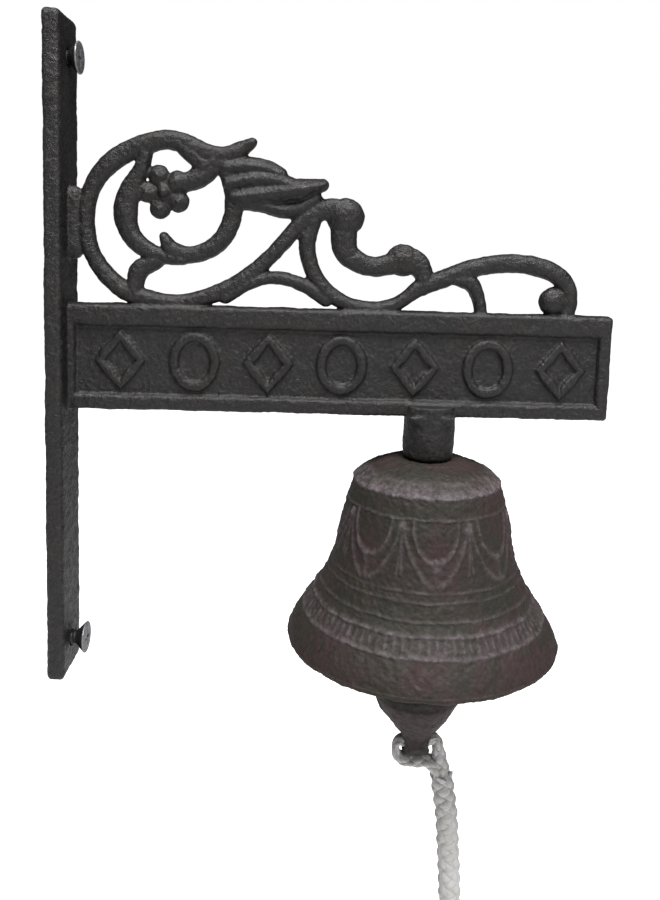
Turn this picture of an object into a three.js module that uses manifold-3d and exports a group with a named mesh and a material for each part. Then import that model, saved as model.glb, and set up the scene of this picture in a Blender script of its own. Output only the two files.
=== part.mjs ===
// Wall mounted bell: a cast iron bracket with scrollwork, a bell bolted under its arm,
// a clapper on a wire link inside the bell, and a pull rope through the clapper's tail.
// Millimetres. The wall is the plane X = 0, the arm runs along +X and +Z is up.
// Z = 0 is the top edge of the arm, and the whole bracket is symmetric about Y = 0.
import * as THREE from 'three';
import { mergeVertices } from 'three/addons/utils/BufferGeometryUtils.js';
import ManifoldModule from 'manifold-3d';

const wasm = await ManifoldModule();
wasm.setup();
const { Manifold, Mesh: ManifoldMesh } = wasm;

// ---- wall plate
const PLATE_TOP = 94;
const PLATE_BOTTOM = -130;
const PLATE_WIDTH = 21;
const PLATE_THICKNESS = 6;
const PLATE_CORNER_RADIUS = 2;
const PLATE_EDGE_ROUND = 1.1;

// ---- sign arm
const ARM_REACH = 190.5;
const ARM_HEIGHT = 36;
const ARM_THICKNESS = 8;
const WEB_THICKNESS = 4.4;
const TOP_RIM = 7.4;
const BOTTOM_RIM = 5.4;
const END_RIM = 4.6;
const ROOT_RIM = 5;
const RIM_EDGE_ROUND = 0.7;
const MOTIF_COUNT = 7;
const MOTIF_MARGIN = 1.6;
const MOTIF_SHARE_OF_PITCH = 0.68;
const MOTIF_RELIEF = 1.1;
const MOTIF_STROKE = 3.2;

// ---- scrollwork above the arm
// Scroll lines are drawn for an arm that stands this far out of the plate's front face.
const SCROLL_SPAN = 184.5;
const SCROLL_START = 6;
const SCROLL_DEPTH = 6;
const SCROLL_ROUND = 1.5;
const LEAF_DEPTH = 7;
const LEAF_STEP = 1;
const ROOT_PAD_LOW = 14;
const ROOT_PAD_HIGH = 39.5;
const ROOT_PAD_OUT = 11;
const PETAL_RADIUS = 3.5;
const PETAL_DEPTH = 5.2;
const FLOWER_HEART_RADIUS = 2.3;
const FLOWER_HEART_DEPTH = 7.4;
const FLOWER_X = 37.6;
const FLOWER_Z = 37.8;
const PETAL_ORBIT = 5.8;
const PETAL_COUNT = 5;
const PETAL_TURN = 0.68;

// ---- boss that carries the bell
const BELL_TO_ARM_END = 61;
const BOSS_RADIUS = 8.9;
const BOSS_LENGTH = 14.8;
const BORE_END_ROOM = 1.5;
const GUSSET_WIDTH = 15;
const GUSSET_DROP = 4.5;
const GUSSET_SINK = 1;
const GUSSET_INSET = 0.6;
const GUSSET_ROUND = 0.8;
const BOSS_SINK = 4;
const BOSS_EDGE = 0.8;
const BOSS_DRAFT = 0.3;

// ---- bell
const FIT_GAP = 0.3;
const BELL_HEIGHT = 64.4;
const BELL_LIP_RADIUS = 47.5;
const BELL_WALL = 3.6;
const CROWN_THICKNESS = 4;
const RIDGE_RELIEF = 0.7;

// ---- hanger inside the bell
const WASHER_BREADTH = 4.7;
const WASHER_THICKNESS = 1.4;
const BOLT_RADIUS = 2.5;
const BOLT_ENGAGEMENT = 9.5;
const COLLAR_RADIUS = 4.6;
const COLLAR_THICKNESS = 1.8;
const EYE_RADIUS = 4.1;
const EYE_WIRE_RADIUS = 1.4;
const COLLAR_TAPER = 1;
const BOLT_POINT = 0.8;

// ---- clapper link
const LINK_WIRE_RADIUS = 1.25;
const LINK_END_RADIUS = 4.1;
const LINK_STRAIGHT = 4.6;

// ---- clapper
const CLAPPER_EYE_RADIUS = 4.2;
const CLAPPER_EYE_WIRE_RADIUS = 1.5;
const CLAPPER_NECK_RADIUS = 3;
const NECK_FLARE = 1.4;
const NECK_TAPER = 7;
const BALL_RADIUS = 15.2;
const BALL_BELOW_EYE = 57.8;
// The ball's lower half, as shares of its radius: how far out, and how far below its middle.
const BALL_TAPER = [[0.45, -1], [0.6, -0.8], [0.76, -0.56], [0.91, -0.28]];
const BALL_UPPER_ANGLES = [0, 0.3, 0.6, 0.9, 1.15];
const TAIL_WALL = 1.7;
const TAIL_HOLE_BELOW_BALL = 4.6;
const TAIL_NECK_DROP = 1.6;
const TAIL_END_ANGLES = [60, 30, 0];
const NECK_CROWN = 0.6;

// ---- pull rope
const ROPE_RADIUS = 3.3;
const ROPE_SIDES = 10;
const ROPE_STEPS = 10;
const ROPE_HOLE_GAP = 0.35;
const EYE_SLACK = 0.25;
const ROPE_START_OUT = 0.6;
const ROPE_START_GAP = 0.1;
const KNOT_RADIUS = 6.2;
const KNOT_HALF_HEIGHT = 7;

// ---- wall screws
const SCREW_HEAD_RADIUS = 5.4;
const SCREW_SHANK_RADIUS = 2.5;
const SCREW_RIM = 0.5;
const UPPER_SCREW_FROM_TOP = 13.4;
const LOWER_SCREW_FROM_BOTTOM = 11.2;
const UPPER_SCREW_STANDS_OUT = 3.9;
const LOWER_SCREW_STANDS_OUT = 5.4;
const RECESS_REACH = 2.9;
const RECESS_WIDTH = 1.1;
const RECESS_DEPTH = 1.7;
const SCREW_POINT_INSET = 0.6;
const SCREW_POINT_LENGTH = 1;
const SCREW_FACE_EDGE = 0.1;

// ---- facets
const ROUND_SEGMENTS = 40;
const SMALL_SEGMENTS = 20;
const WIRE_SIDES = 10;
const BODY_SEGMENTS = 24;
const BEAD_SEGMENTS = 12;
const BEAD_RINGS = 6;
const RING_SIDES = 12;
const LOZENGE_SIDES = 4;
const SAMPLES_PER_SPAN = 2;
const ON_AXIS = 1e-6;
const DISC_SIDES = 20;

// ---- sizes and levels that follow from the ones above
const BELL_X = ARM_REACH - BELL_TO_ARM_END;
const SCREW_HOLE_RADIUS = SCREW_SHANK_RADIUS + FIT_GAP;
const UPPER_SCREW_Z = PLATE_TOP - UPPER_SCREW_FROM_TOP;
const LOWER_SCREW_Z = PLATE_BOTTOM + LOWER_SCREW_FROM_BOTTOM;
const MOTIF_HEIGHT = ARM_HEIGHT - TOP_RIM - BOTTOM_RIM - 2 * MOTIF_MARGIN;
const BOSS_BORE_RADIUS = BOLT_RADIUS + FIT_GAP;
const BOSS_BORE_DEPTH = BOLT_ENGAGEMENT + BORE_END_ROOM;
const CROWN_HOLE_RADIUS = BOLT_RADIUS + FIT_GAP;
const WASHER_RADIUS = CROWN_HOLE_RADIUS + WASHER_BREADTH;
const TAIL_HOLE_RADIUS = ROPE_RADIUS + ROPE_HOLE_GAP;
const TAIL_RADIUS = TAIL_HOLE_RADIUS + TAIL_WALL;
const EYE_REACH = TAIL_RADIUS + ROPE_RADIUS + FIT_GAP + EYE_SLACK;
const BOSS_BOTTOM = -ARM_HEIGHT - BOSS_LENGTH;
const BELL_TOP = BOSS_BOTTOM - FIT_GAP;
const CROWN_UNDERSIDE = BELL_TOP - CROWN_THICKNESS;
const WASHER_TOP = CROWN_UNDERSIDE - FIT_GAP;
const COLLAR_TOP = WASHER_TOP - WASHER_THICKNESS - FIT_GAP;
const EYE_Z = COLLAR_TOP - COLLAR_THICKNESS - EYE_RADIUS;
const LINK_PIVOT_Z = EYE_Z - EYE_RADIUS + EYE_WIRE_RADIUS + LINK_WIRE_RADIUS + FIT_GAP;
const LINK_LOW_Z = LINK_PIVOT_Z - 2 * LINK_END_RADIUS - LINK_STRAIGHT;
const CLAPPER_PIVOT_Z = LINK_LOW_Z + LINK_WIRE_RADIUS + CLAPPER_EYE_WIRE_RADIUS + FIT_GAP;
const CLAPPER_EYE_Z = CLAPPER_PIVOT_Z - CLAPPER_EYE_RADIUS;
const BALL_Z = CLAPPER_EYE_Z - BALL_BELOW_EYE;
const TAIL_HOLE_Z = BALL_Z - BALL_RADIUS - TAIL_HOLE_BELOW_BALL;

// ---- solids

function toSolid(geometry) {
  const bare = new THREE.BufferGeometry();
  bare.setAttribute('position', geometry.getAttribute('position').clone());
  if (geometry.index) bare.setIndex(geometry.index.clone());
  const welded = mergeVertices(bare, 1e-4);
  return new Manifold(new ManifoldMesh({
    numProp: 3,
    vertProperties: new Float32Array(welded.getAttribute('position').array),
    triVerts: new Uint32Array(welded.index.array),
  }));
}

function toGeometry(solid) {
  const mesh = solid.getMesh();
  const geometry = new THREE.BufferGeometry();
  geometry.setAttribute('position', new THREE.BufferAttribute(mesh.vertProperties, 3));
  geometry.setIndex(new THREE.BufferAttribute(mesh.triVerts, 1));
  return geometry;
}

function join(geometries) {
  return geometries.map(toSolid).reduce((whole, piece) => Manifold.union(whole, piece));
}

// An outline drawn in X and Z, thickened evenly to both sides of Y = 0.
function plateOf(shape, thickness, round = 0) {
  const geometry = new THREE.ExtrudeGeometry(shape, {
    depth: thickness - 2 * round,
    bevelEnabled: round > 0,
    bevelThickness: round,
    bevelSize: round,
    bevelOffset: -round,
    bevelSegments: 1,
    curveSegments: 3,
  });
  geometry.rotateX(Math.PI / 2);
  geometry.translate(0, thickness / 2 - round, 0);
  return geometry;
}

function rectangle(x0, z0, x1, z1) {
  return new THREE.Shape([
    new THREE.Vector2(x0, z0),
    new THREE.Vector2(x1, z0),
    new THREE.Vector2(x1, z1),
    new THREE.Vector2(x0, z1),
  ]);
}

// A lathe turned about the vertical through the bell; points are [radius, height].
function turned(points, segments) {
  const profile = points.map(([radius, height]) => new THREE.Vector2(radius, height));
  const geometry = new THREE.LatheGeometry(profile, segments);
  geometry.rotateX(Math.PI / 2);
  return geometry.translate(BELL_X, 0, 0);
}

// Carries an X of the scroll drawing over to the arm's own length.
function alongArm(x) {
  return PLATE_THICKNESS + ((x - SCROLL_START) * (ARM_REACH - PLATE_THICKNESS)) / SCROLL_SPAN;
}

// The outline of a bar that follows a smooth line; each stop is [x, z, width].
function strokeShape(stops) {
  const line = new THREE.CatmullRomCurve3(
    stops.map(([x, z]) => new THREE.Vector3(alongArm(x), z, 0)), false, 'centripetal');
  const widths = new THREE.CatmullRomCurve3(
    stops.map(([, , width], i) => new THREE.Vector3(i, width, 0)), false, 'centripetal');
  const count = (stops.length - 1) * SAMPLES_PER_SPAN;
  const left = [];
  const right = [];
  for (let i = 0; i <= count; i += 1) {
    const t = i / count;
    const point = line.getPoint(t);
    const along = line.getTangent(t);
    const half = widths.getPoint(t).y / 2;
    left.push(new THREE.Vector2(point.x - along.y * half, point.y + along.x * half));
    right.push(new THREE.Vector2(point.x + along.y * half, point.y - along.x * half));
  }
  const start = endCap(line.getPoint(0), line.getTangent(0).negate(), stops[0][2] / 2);
  const last = stops[stops.length - 1];
  const end = endCap(line.getPoint(1), line.getTangent(1), last[2] / 2);
  return new THREE.Shape([...right, ...end, ...left.reverse(), ...start]);
}

// Rounds off a bar's end with three points of a half circle, turning anticlockwise.
function endCap(centre, outward, radius) {
  const heading = Math.atan2(outward.y, outward.x);
  return [-Math.PI / 4, 0, Math.PI / 4].map((turn) => new THREE.Vector2(
    centre.x + radius * Math.cos(heading + turn),
    centre.y + radius * Math.sin(heading + turn)));
}

function stroke(stops, depth = SCROLL_DEPTH, round = SCROLL_ROUND) {
  const narrowest = Math.min(...stops.map(([, , width]) => width));
  return plateOf(strokeShape(stops), depth, Math.min(round, narrowest * 0.28));
}

// A flattened ball set in the plane of the scrolls.
function bead(x, z, radius, depth) {
  const geometry = new THREE.SphereGeometry(radius, BEAD_SEGMENTS, BEAD_RINGS);
  geometry.scale(1, depth / 2 / radius, 1);
  return geometry.translate(alongArm(x), 0, z);
}

// ---- bracket

function wallPlate() {
  const half = PLATE_WIDTH / 2;
  const corner = PLATE_CORNER_RADIUS;
  const outline = new THREE.Shape();
  outline.moveTo(-half + corner, PLATE_BOTTOM);
  outline.lineTo(half - corner, PLATE_BOTTOM);
  outline.absarc(half - corner, PLATE_BOTTOM + corner, corner, -Math.PI / 2, 0, false);
  outline.lineTo(half, PLATE_TOP - corner);
  outline.absarc(half - corner, PLATE_TOP - corner, corner, 0, Math.PI / 2, false);
  outline.lineTo(-half + corner, PLATE_TOP);
  outline.absarc(-half + corner, PLATE_TOP - corner, corner, Math.PI / 2, Math.PI, false);
  outline.lineTo(-half, PLATE_BOTTOM + corner);
  outline.absarc(-half + corner, PLATE_BOTTOM + corner, corner, Math.PI, Math.PI * 1.5, false);
  const geometry = plateOf(outline, PLATE_THICKNESS, PLATE_EDGE_ROUND);
  geometry.rotateZ(Math.PI / 2);
  return geometry.translate(PLATE_THICKNESS / 2, 0, 0);
}

function screwHole(z) {
  const hole = new THREE.CylinderGeometry(
    SCREW_HOLE_RADIUS, SCREW_HOLE_RADIUS, PLATE_THICKNESS * 3, SMALL_SEGMENTS);
  hole.rotateZ(Math.PI / 2);
  return hole.translate(0, 0, z);
}

function signArm() {
  const root = PLATE_THICKNESS / 2;
  const bars = [
    rectangle(root, -TOP_RIM, ARM_REACH, 0),
    rectangle(root, -ARM_HEIGHT, ARM_REACH, -ARM_HEIGHT + BOTTOM_RIM),
    rectangle(ARM_REACH - END_RIM, -ARM_HEIGHT, ARM_REACH, 0),
    rectangle(root, -ARM_HEIGHT, PLATE_THICKNESS + ROOT_RIM, 0),
  ].map((bar) => plateOf(bar, ARM_THICKNESS, RIM_EDGE_ROUND));
  const web = plateOf(rectangle(root, 1 - ARM_HEIGHT, ARM_REACH - 1, -1), WEB_THICKNESS);
  return [...bars, web, ...signMotifs()];
}

// Plain raised lozenges and rings, one after the other, on both faces of the sign.
function signMotifs() {
  const left = PLATE_THICKNESS + ROOT_RIM;
  const pitch = (ARM_REACH - END_RIM - left) / MOTIF_COUNT;
  const middle = (-TOP_RIM - ARM_HEIGHT + BOTTOM_RIM) / 2;
  const depth = WEB_THICKNESS + 2 * MOTIF_RELIEF;
  return Array.from({ length: MOTIF_COUNT }, (_, i) => {
    const x = left + pitch * (i + 0.5);
    const sides = i % 2 ? RING_SIDES : LOZENGE_SIDES;
    return plateOf(ovalRing(x, middle, pitch * MOTIF_SHARE_OF_PITCH, sides), depth);
  });
}

function ovalRing(x, z, width, sides) {
  const at = (shrink) => Array.from({ length: sides }, (_, k) => {
    const turn = (2 * Math.PI * k) / sides;
    return new THREE.Vector2(
      x + (width / 2 - shrink) * Math.cos(turn),
      z + (MOTIF_HEIGHT / 2 - shrink) * Math.sin(turn));
  });
  const ring = new THREE.Shape(at(0));
  ring.holes.push(new THREE.Path(at(MOTIF_STROKE).reverse()));
  return ring;
}

// The long scroll: a leaf tip at the top, round the great ring, then up to the middle volute.
function greatScroll() {
  return stroke([
    [66.4, 55.4, 2.4], [62.6, 53.2, 4.6], [57.6, 50.8, 5.8], [51.5, 51.2, 6.2],
    [45.2, 53.6, 6.6], [38, 54.9, 6.6], [26.2, 51.2, 6.9], [18.4, 45.8, 6.6],
    [13.2, 37.8, 5.9], [11.6, 28, 5.4], [13.4, 17, 5.6], [18.4, 9.3, 6],
    [24.4, 4.6, 6.2], [31.5, 2, 6.4], [39.5, 0.8, 5.6], [47.8, 1.9, 5.6],
    [56, 4.6, 6], [63.6, 8.7, 6.2], [70.6, 14.4, 5.4], [76.6, 20.8, 5.2],
    [82.2, 27.4, 5.6], [88, 32, 5.8], [94, 34, 6.4], [98.4, 32.4, 7.4],
  ]);
}

function innerScroll() {
  return stroke([
    [57.6, 47.5, 6.4], [60.2, 40.5, 6.4], [60.8, 33.6, 6.6], [59.4, 27, 6.3],
    [55.6, 21.2, 6.1], [50, 17.8, 6], [44.4, 17.1, 6], [39.8, 19, 5.6], [37.6, 23, 3],
  ]);
}

function innerCrescent() {
  return stroke([
    [31, 50.4, 5], [29.4, 45.4, 6], [26.2, 39, 7.9], [24.8, 32.6, 8.1],
    [25, 27, 7.4], [27.2, 22.2, 6.6], [31.4, 18.6, 6], [37, 16.4, 5], [44, 15.6, 4.2],
  ]);
}

function volutes() {
  const lowerVolute = [
    [87.6, 29.5, 5.4], [85.7, 23, 6], [86.3, 17, 5.6], [88.6, 11, 5.4], [92.6, 6.2, 5.4],
    [98, 2.8, 5.2], [104.5, 0.8, 5], [110, 0.5, 5], [115.6, 1.9, 5], [120.2, 4.8, 5],
    [124.2, 8.4, 4.8], [130.6, 11.3, 4.8], [137.4, 13.7, 5.6], [145.2, 16, 6.2],
    [155, 17.2, 6.6], [163, 16.3, 6.4], [169.6, 13.8, 6], [173.8, 9.8, 5.6],
    [175.4, 4.8, 5.4], [174.8, -1, 5.2],
  ];
  const tendril = [
    [98.6, 27.5, 8], [99.2, 20, 7.6], [103.6, 16, 7.2], [108.6, 14.8, 6.8],
    [113.4, 15.6, 7.2], [118.2, 17.1, 9.6], [122.8, 15.9, 8], [125.3, 12, 6], [125.4, 7.5, 4.6],
  ];
  return [
    stroke(lowerVolute),
    stroke(tendril),
    bead(98.4, 31.2, 6.5, 8.4),
    bead(118.2, 17.3, 5.6, 7.2),
    bead(170.3, 4.6, 4.9, 7.4),
  ];
}

function braces() {
  return [
    stroke([[58.5, 3.4, 5], [66.4, 7.9, 4.2], [74, 10.2, 4.5], [80.6, 9.4, 4.7],
      [86.6, 7, 5], [92.4, 3.2, 5]]),
    stroke([[136.4, 11.5, 4.6], [142, 9.8, 5.4], [144.6, 5, 4.7], [145.8, -1, 4.6]]),
    stroke([[35, 14.8, 5.6], [30, 11, 5.4], [27.8, 4.5, 5]]),
    stroke([[41.5, 40.6, 6], [47, 42, 7], [51.5, 45.4, 8], [55.4, 49.4, 6.4]]),
    plateOf(
      rectangle(PLATE_THICKNESS / 2, ROOT_PAD_LOW, alongArm(ROOT_PAD_OUT), ROOT_PAD_HIGH),
      SCROLL_DEPTH, SCROLL_ROUND),
  ];
}

function leaf() {
  const lobes = [
    [[58, 46.8, 5], [66, 46.6, 5.4], [72, 46.2, 4.8], [76.2, 44.8, 3]],
    [[60, 41, 6.6], [67, 41.6, 6.8], [74, 41.8, 6], [79, 42, 3]],
    [[62, 37, 6.4], [70, 37, 7.6], [78, 38.3, 8], [85, 40.8, 6], [90, 42.6, 3.2]],
    [[61.6, 35.4, 5], [70, 34.4, 5], [77.6, 32.6, 5.6], [83, 33.4, 6], [88, 36.6, 5.4]],
  ];
  return lobes.map((lobe, i) => stroke(lobe, LEAF_DEPTH - LEAF_STEP * (i % 2)));
}

function flower() {
  const petals = Array.from({ length: PETAL_COUNT }, (_, i) => {
    const turn = PETAL_TURN + (2 * Math.PI * i) / PETAL_COUNT;
    return bead(
      FLOWER_X + PETAL_ORBIT * Math.cos(turn),
      FLOWER_Z + PETAL_ORBIT * Math.sin(turn),
      PETAL_RADIUS,
      PETAL_DEPTH);
  });
  const disc = new THREE.CylinderGeometry(PETAL_ORBIT, PETAL_ORBIT, PETAL_DEPTH / 2, DISC_SIDES);
  disc.translate(alongArm(FLOWER_X), 0, FLOWER_Z);
  return [...petals, disc, bead(FLOWER_X, FLOWER_Z, FLOWER_HEART_RADIUS, FLOWER_HEART_DEPTH)];
}

// The boss is turned with its blind bore in it; a gusset leads it into the arm.
function boss() {
  const top = BOSS_SINK - ARM_HEIGHT;
  const boreEnd = BOSS_BOTTOM + BOSS_BORE_DEPTH;
  const turnedBoss = turned([
    [0, boreEnd], [BOSS_BORE_RADIUS, boreEnd], [BOSS_BORE_RADIUS, BOSS_BOTTOM],
    [BOSS_RADIUS - BOSS_EDGE, BOSS_BOTTOM],
    [BOSS_RADIUS - BOSS_DRAFT, BOSS_BOTTOM + BOSS_EDGE],
    [BOSS_RADIUS, top], [0, top],
  ], BODY_SEGMENTS);
  const gusset = new THREE.Shape([
    new THREE.Vector2(BELL_X - GUSSET_WIDTH / 2, GUSSET_SINK - ARM_HEIGHT),
    new THREE.Vector2(BELL_X, -ARM_HEIGHT - GUSSET_DROP),
    new THREE.Vector2(BELL_X + GUSSET_WIDTH / 2, GUSSET_SINK - ARM_HEIGHT),
  ]);
  return [turnedBoss, plateOf(gusset, 2 * BOSS_RADIUS - GUSSET_INSET, GUSSET_ROUND)];
}

function bracketSolid() {
  const casting = join([
    wallPlate(),
    ...signArm(),
    greatScroll(),
    innerScroll(),
    innerCrescent(),
    ...volutes(),
    ...braces(),
    ...leaf(),
    ...flower(),
    ...boss(),
  ]);
  return [UPPER_SCREW_Z, LOWER_SCREW_Z].reduce(
    (solid, z) => Manifold.difference(solid, toSolid(screwHole(z))), casting);
}

// ---- bell

// The outer skin's outline, as [share of the height, share of the lip's radius].
const BELL_OUTLINE = [
  [0, 0.24], [0.025, 0.355], [0.054, 0.445], [0.089, 0.51], [0.142, 0.545], [0.237, 0.583],
  [0.348, 0.615], [0.475, 0.648], [0.585, 0.699], [0.68, 0.758], [0.759, 0.825], [0.839, 0.901],
  [0.91, 0.964], [0.965, 1], [1, 1],
];
const RIDGE_SHARES = [0.098, 0.2, 0.541, 0.608, 0.728, 0.81];
const INSIDE_SHARES = [0.902, 0.791, 0.68, 0.57, 0.443, 0.285, 0.158, 0.111];
const CROWN_INSIDE_SHARE = 0.326;
const RIDGE_HALF_SHARE = 0.0127;
const LIP_BEVEL = 1;
const LIP_INNER_BEVEL = 0.6;

// The skin's radius at a share of the height, between the outline's points.
function bellRadius(share) {
  const next = Math.max(1, BELL_OUTLINE.findIndex(([level]) => level >= share));
  const [s0, r0] = BELL_OUTLINE[next - 1];
  const [s1, r1] = BELL_OUTLINE[next];
  return BELL_LIP_RADIUS * (r0 + ((r1 - r0) * (share - s0)) / (s1 - s0));
}

function bellGeometry() {
  const outside = BELL_OUTLINE.slice(0, -1).map(([share]) => [bellRadius(share), share]);
  RIDGE_SHARES.forEach((share) => {
    const above = share - RIDGE_HALF_SHARE;
    const below = share + RIDGE_HALF_SHARE;
    outside.push([bellRadius(above), above]);
    outside.push([bellRadius(share) + RIDGE_RELIEF, share]);
    outside.push([bellRadius(below), below]);
  });
  outside.sort((a, b) => a[1] - b[1]);
  const inside = INSIDE_SHARES.map((share) => [bellRadius(share) - BELL_WALL, share]);
  const crownShare = CROWN_THICKNESS / BELL_HEIGHT;
  const closed = [
    [CROWN_HOLE_RADIUS, 0],
    ...outside,
    [BELL_LIP_RADIUS - LIP_BEVEL, 1],
    [BELL_LIP_RADIUS - BELL_WALL - LIP_INNER_BEVEL, 1],
    ...inside,
    [BELL_LIP_RADIUS * CROWN_INSIDE_SHARE, crownShare],
    [CROWN_HOLE_RADIUS, crownShare],
    [CROWN_HOLE_RADIUS, 0],
  ].map(([radius, share]) => [radius, BELL_TOP - share * BELL_HEIGHT]);
  return turned(closed.reverse(), ROUND_SEGMENTS);
}

// ---- hanger, link and clapper

function washerGeometry() {
  const low = WASHER_TOP - WASHER_THICKNESS;
  return turned([
    [CROWN_HOLE_RADIUS, low], [WASHER_RADIUS, low], [WASHER_RADIUS, WASHER_TOP],
    [CROWN_HOLE_RADIUS, WASHER_TOP], [CROWN_HOLE_RADIUS, low],
  ], SMALL_SEGMENTS);
}

function hangerSolid() {
  const low = COLLAR_TOP - COLLAR_THICKNESS;
  const boltTop = BOSS_BOTTOM + BOLT_ENGAGEMENT;
  const shank = turned([
    [0, low - COLLAR_TAPER], [BOLT_RADIUS, low - COLLAR_TAPER],
    [COLLAR_RADIUS, low], [COLLAR_RADIUS, COLLAR_TOP],
    [BOLT_RADIUS, COLLAR_TOP], [BOLT_RADIUS, boltTop - BOLT_POINT],
    [BOLT_RADIUS - BOLT_POINT, boltTop], [0, boltTop],
  ], SMALL_SEGMENTS);
  const eye = new THREE.TorusGeometry(EYE_RADIUS, EYE_WIRE_RADIUS, WIRE_SIDES, SMALL_SEGMENTS);
  eye.rotateX(Math.PI / 2);
  eye.translate(BELL_X, 0, EYE_Z);
  return join([shank, eye]);
}

// A ring of wire pulled out into an oval: the two halves move apart along one axis.
function oval(endRadius, wireRadius, straight, sides) {
  const ring = new THREE.TorusGeometry(endRadius, wireRadius, sides, SMALL_SEGMENTS);
  const position = ring.getAttribute('position');
  for (let i = 0; i < position.count; i += 1) {
    const y = position.getY(i);
    const shift = Math.abs(y) < ON_AXIS ? 0 : Math.sign(y) * straight / 2;
    position.setY(i, y + shift);
  }
  return ring;
}

// The link stands in the plane X = BELL_X, across the eyes above and below it.
function linkGeometry() {
  const link = oval(LINK_END_RADIUS, LINK_WIRE_RADIUS, LINK_STRAIGHT, WIRE_SIDES);
  link.rotateX(Math.PI / 2);
  link.rotateZ(Math.PI / 2);
  return link.translate(BELL_X, 0, (LINK_PIVOT_Z + LINK_LOW_Z) / 2);
}

function clapperSolid() {
  const ring = new THREE.TorusGeometry(
    CLAPPER_EYE_RADIUS, CLAPPER_EYE_WIRE_RADIUS, WIRE_SIDES, SMALL_SEGMENTS);
  ring.rotateX(Math.PI / 2);
  ring.translate(BELL_X, 0, CLAPPER_EYE_Z);
  const neckTop = CLAPPER_EYE_Z - CLAPPER_EYE_RADIUS;
  const upward = (angle) => [
    BALL_RADIUS * Math.cos(angle), BALL_Z + BALL_RADIUS * Math.sin(angle)];
  const taper = BALL_TAPER.map(
    ([out, up]) => [BALL_RADIUS * out, BALL_Z + BALL_RADIUS * up]);
  const ball = [...taper, ...BALL_UPPER_ANGLES.map(upward)];
  const tailEnd = TAIL_END_ANGLES.map((degrees) => {
    const angle = (degrees * Math.PI) / 180;
    return [TAIL_RADIUS * Math.cos(angle), TAIL_HOLE_Z - TAIL_RADIUS * Math.sin(angle)];
  });
  const body = turned([
    [0, TAIL_HOLE_Z - TAIL_RADIUS],
    ...tailEnd,
    [TAIL_RADIUS, BALL_Z - BALL_RADIUS - TAIL_NECK_DROP],
    ...ball,
    [CLAPPER_NECK_RADIUS + NECK_FLARE, BALL_Z + BALL_RADIUS + NECK_FLARE],
    [CLAPPER_NECK_RADIUS, BALL_Z + BALL_RADIUS + NECK_TAPER],
    [CLAPPER_NECK_RADIUS, neckTop],
    [0, neckTop + NECK_CROWN],
  ], BODY_SEGMENTS);
  const hole = new THREE.CylinderGeometry(
    TAIL_HOLE_RADIUS, TAIL_HOLE_RADIUS, 4 * TAIL_RADIUS, SMALL_SEGMENTS);
  hole.rotateZ(Math.PI / 2);
  hole.translate(BELL_X, 0, TAIL_HOLE_Z);
  return Manifold.difference(join([body, ring]), toSolid(hole));
}

// ---- rope

// The eye spliced in the rope's end: through the tail's hole and back under the tail.
function ropeEyeGeometry() {
  const endRadius = EYE_REACH / 2;
  const eye = oval(endRadius, ROPE_RADIUS, EYE_REACH, ROPE_SIDES);
  eye.rotateZ(Math.PI / 2);
  eye.rotateX(Math.PI / 2);
  return eye.translate(BELL_X, 0, TAIL_HOLE_Z - endRadius);
}

// The standing part of the rope: it starts just below and outside the eye.
function ropeLine() {
  const startX = BELL_X + EYE_REACH + ROPE_START_OUT;
  const startZ = TAIL_HOLE_Z - EYE_REACH - ROPE_RADIUS - ROPE_START_GAP;
  const stops = [
    [0, 0], [0.9, -5.9], [2.4, -15], [3.6, -28],
    [4.8, -44], [5.9, -66], [6.6, -92], [6.9, -121.9],
  ];
  return new THREE.CatmullRomCurve3(
    stops.map(([dx, dz]) => new THREE.Vector3(startX + dx, 0, startZ + dz)),
    false, 'centripetal');
}

// A tube along a line in space.
function ropeGeometry() {
  const section = new THREE.Shape(Array.from({ length: ROPE_SIDES }, (_, k) => {
    const turn = (2 * Math.PI * k) / ROPE_SIDES;
    return new THREE.Vector2(ROPE_RADIUS * Math.cos(turn), ROPE_RADIUS * Math.sin(turn));
  }));
  return new THREE.ExtrudeGeometry(
    section, { steps: ROPE_STEPS, extrudePath: ropeLine(), bevelEnabled: false });
}

function knotGeometry() {
  const end = ropeLine().getPoint(1);
  const knot = new THREE.SphereGeometry(KNOT_RADIUS, BEAD_SEGMENTS, BEAD_RINGS);
  knot.rotateX(Math.PI / 2);
  knot.scale(1, 1, KNOT_HALF_HEIGHT / KNOT_RADIUS);
  return knot.translate(end.x, 0, end.z - KNOT_HALF_HEIGHT - FIT_GAP);
}

// ---- wall screws

function screwSolid(faceX, z) {
  const headDepth = SCREW_HEAD_RADIUS - SCREW_SHANK_RADIUS;
  const profile = [
    [0, FIT_GAP], [SCREW_SHANK_RADIUS - SCREW_POINT_INSET, FIT_GAP],
    [SCREW_SHANK_RADIUS, FIT_GAP + SCREW_POINT_LENGTH],
    [SCREW_SHANK_RADIUS, faceX - SCREW_RIM - headDepth], [SCREW_HEAD_RADIUS, faceX - SCREW_RIM],
    [SCREW_HEAD_RADIUS - SCREW_FACE_EDGE, faceX], [0, faceX],
  ].map(([radius, along]) => new THREE.Vector2(radius, along));
  const body = new THREE.LatheGeometry(profile, SMALL_SEGMENTS);
  body.rotateZ(-Math.PI / 2);
  body.translate(0, 0, z);
  const arms = [[RECESS_REACH, RECESS_WIDTH], [RECESS_WIDTH, RECESS_REACH]].map(([y, h]) => {
    const arm = new THREE.BoxGeometry(RECESS_DEPTH * 2, 2 * y, 2 * h);
    return arm.translate(faceX, 0, z);
  });
  return Manifold.difference(toSolid(body), join(arms));
}

// ---- materials

function metal(name, hex, roughness) {
  return new THREE.MeshStandardMaterial({
    name, color: hex, metalness: 0.6, roughness, flatShading: true });
}

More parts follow.
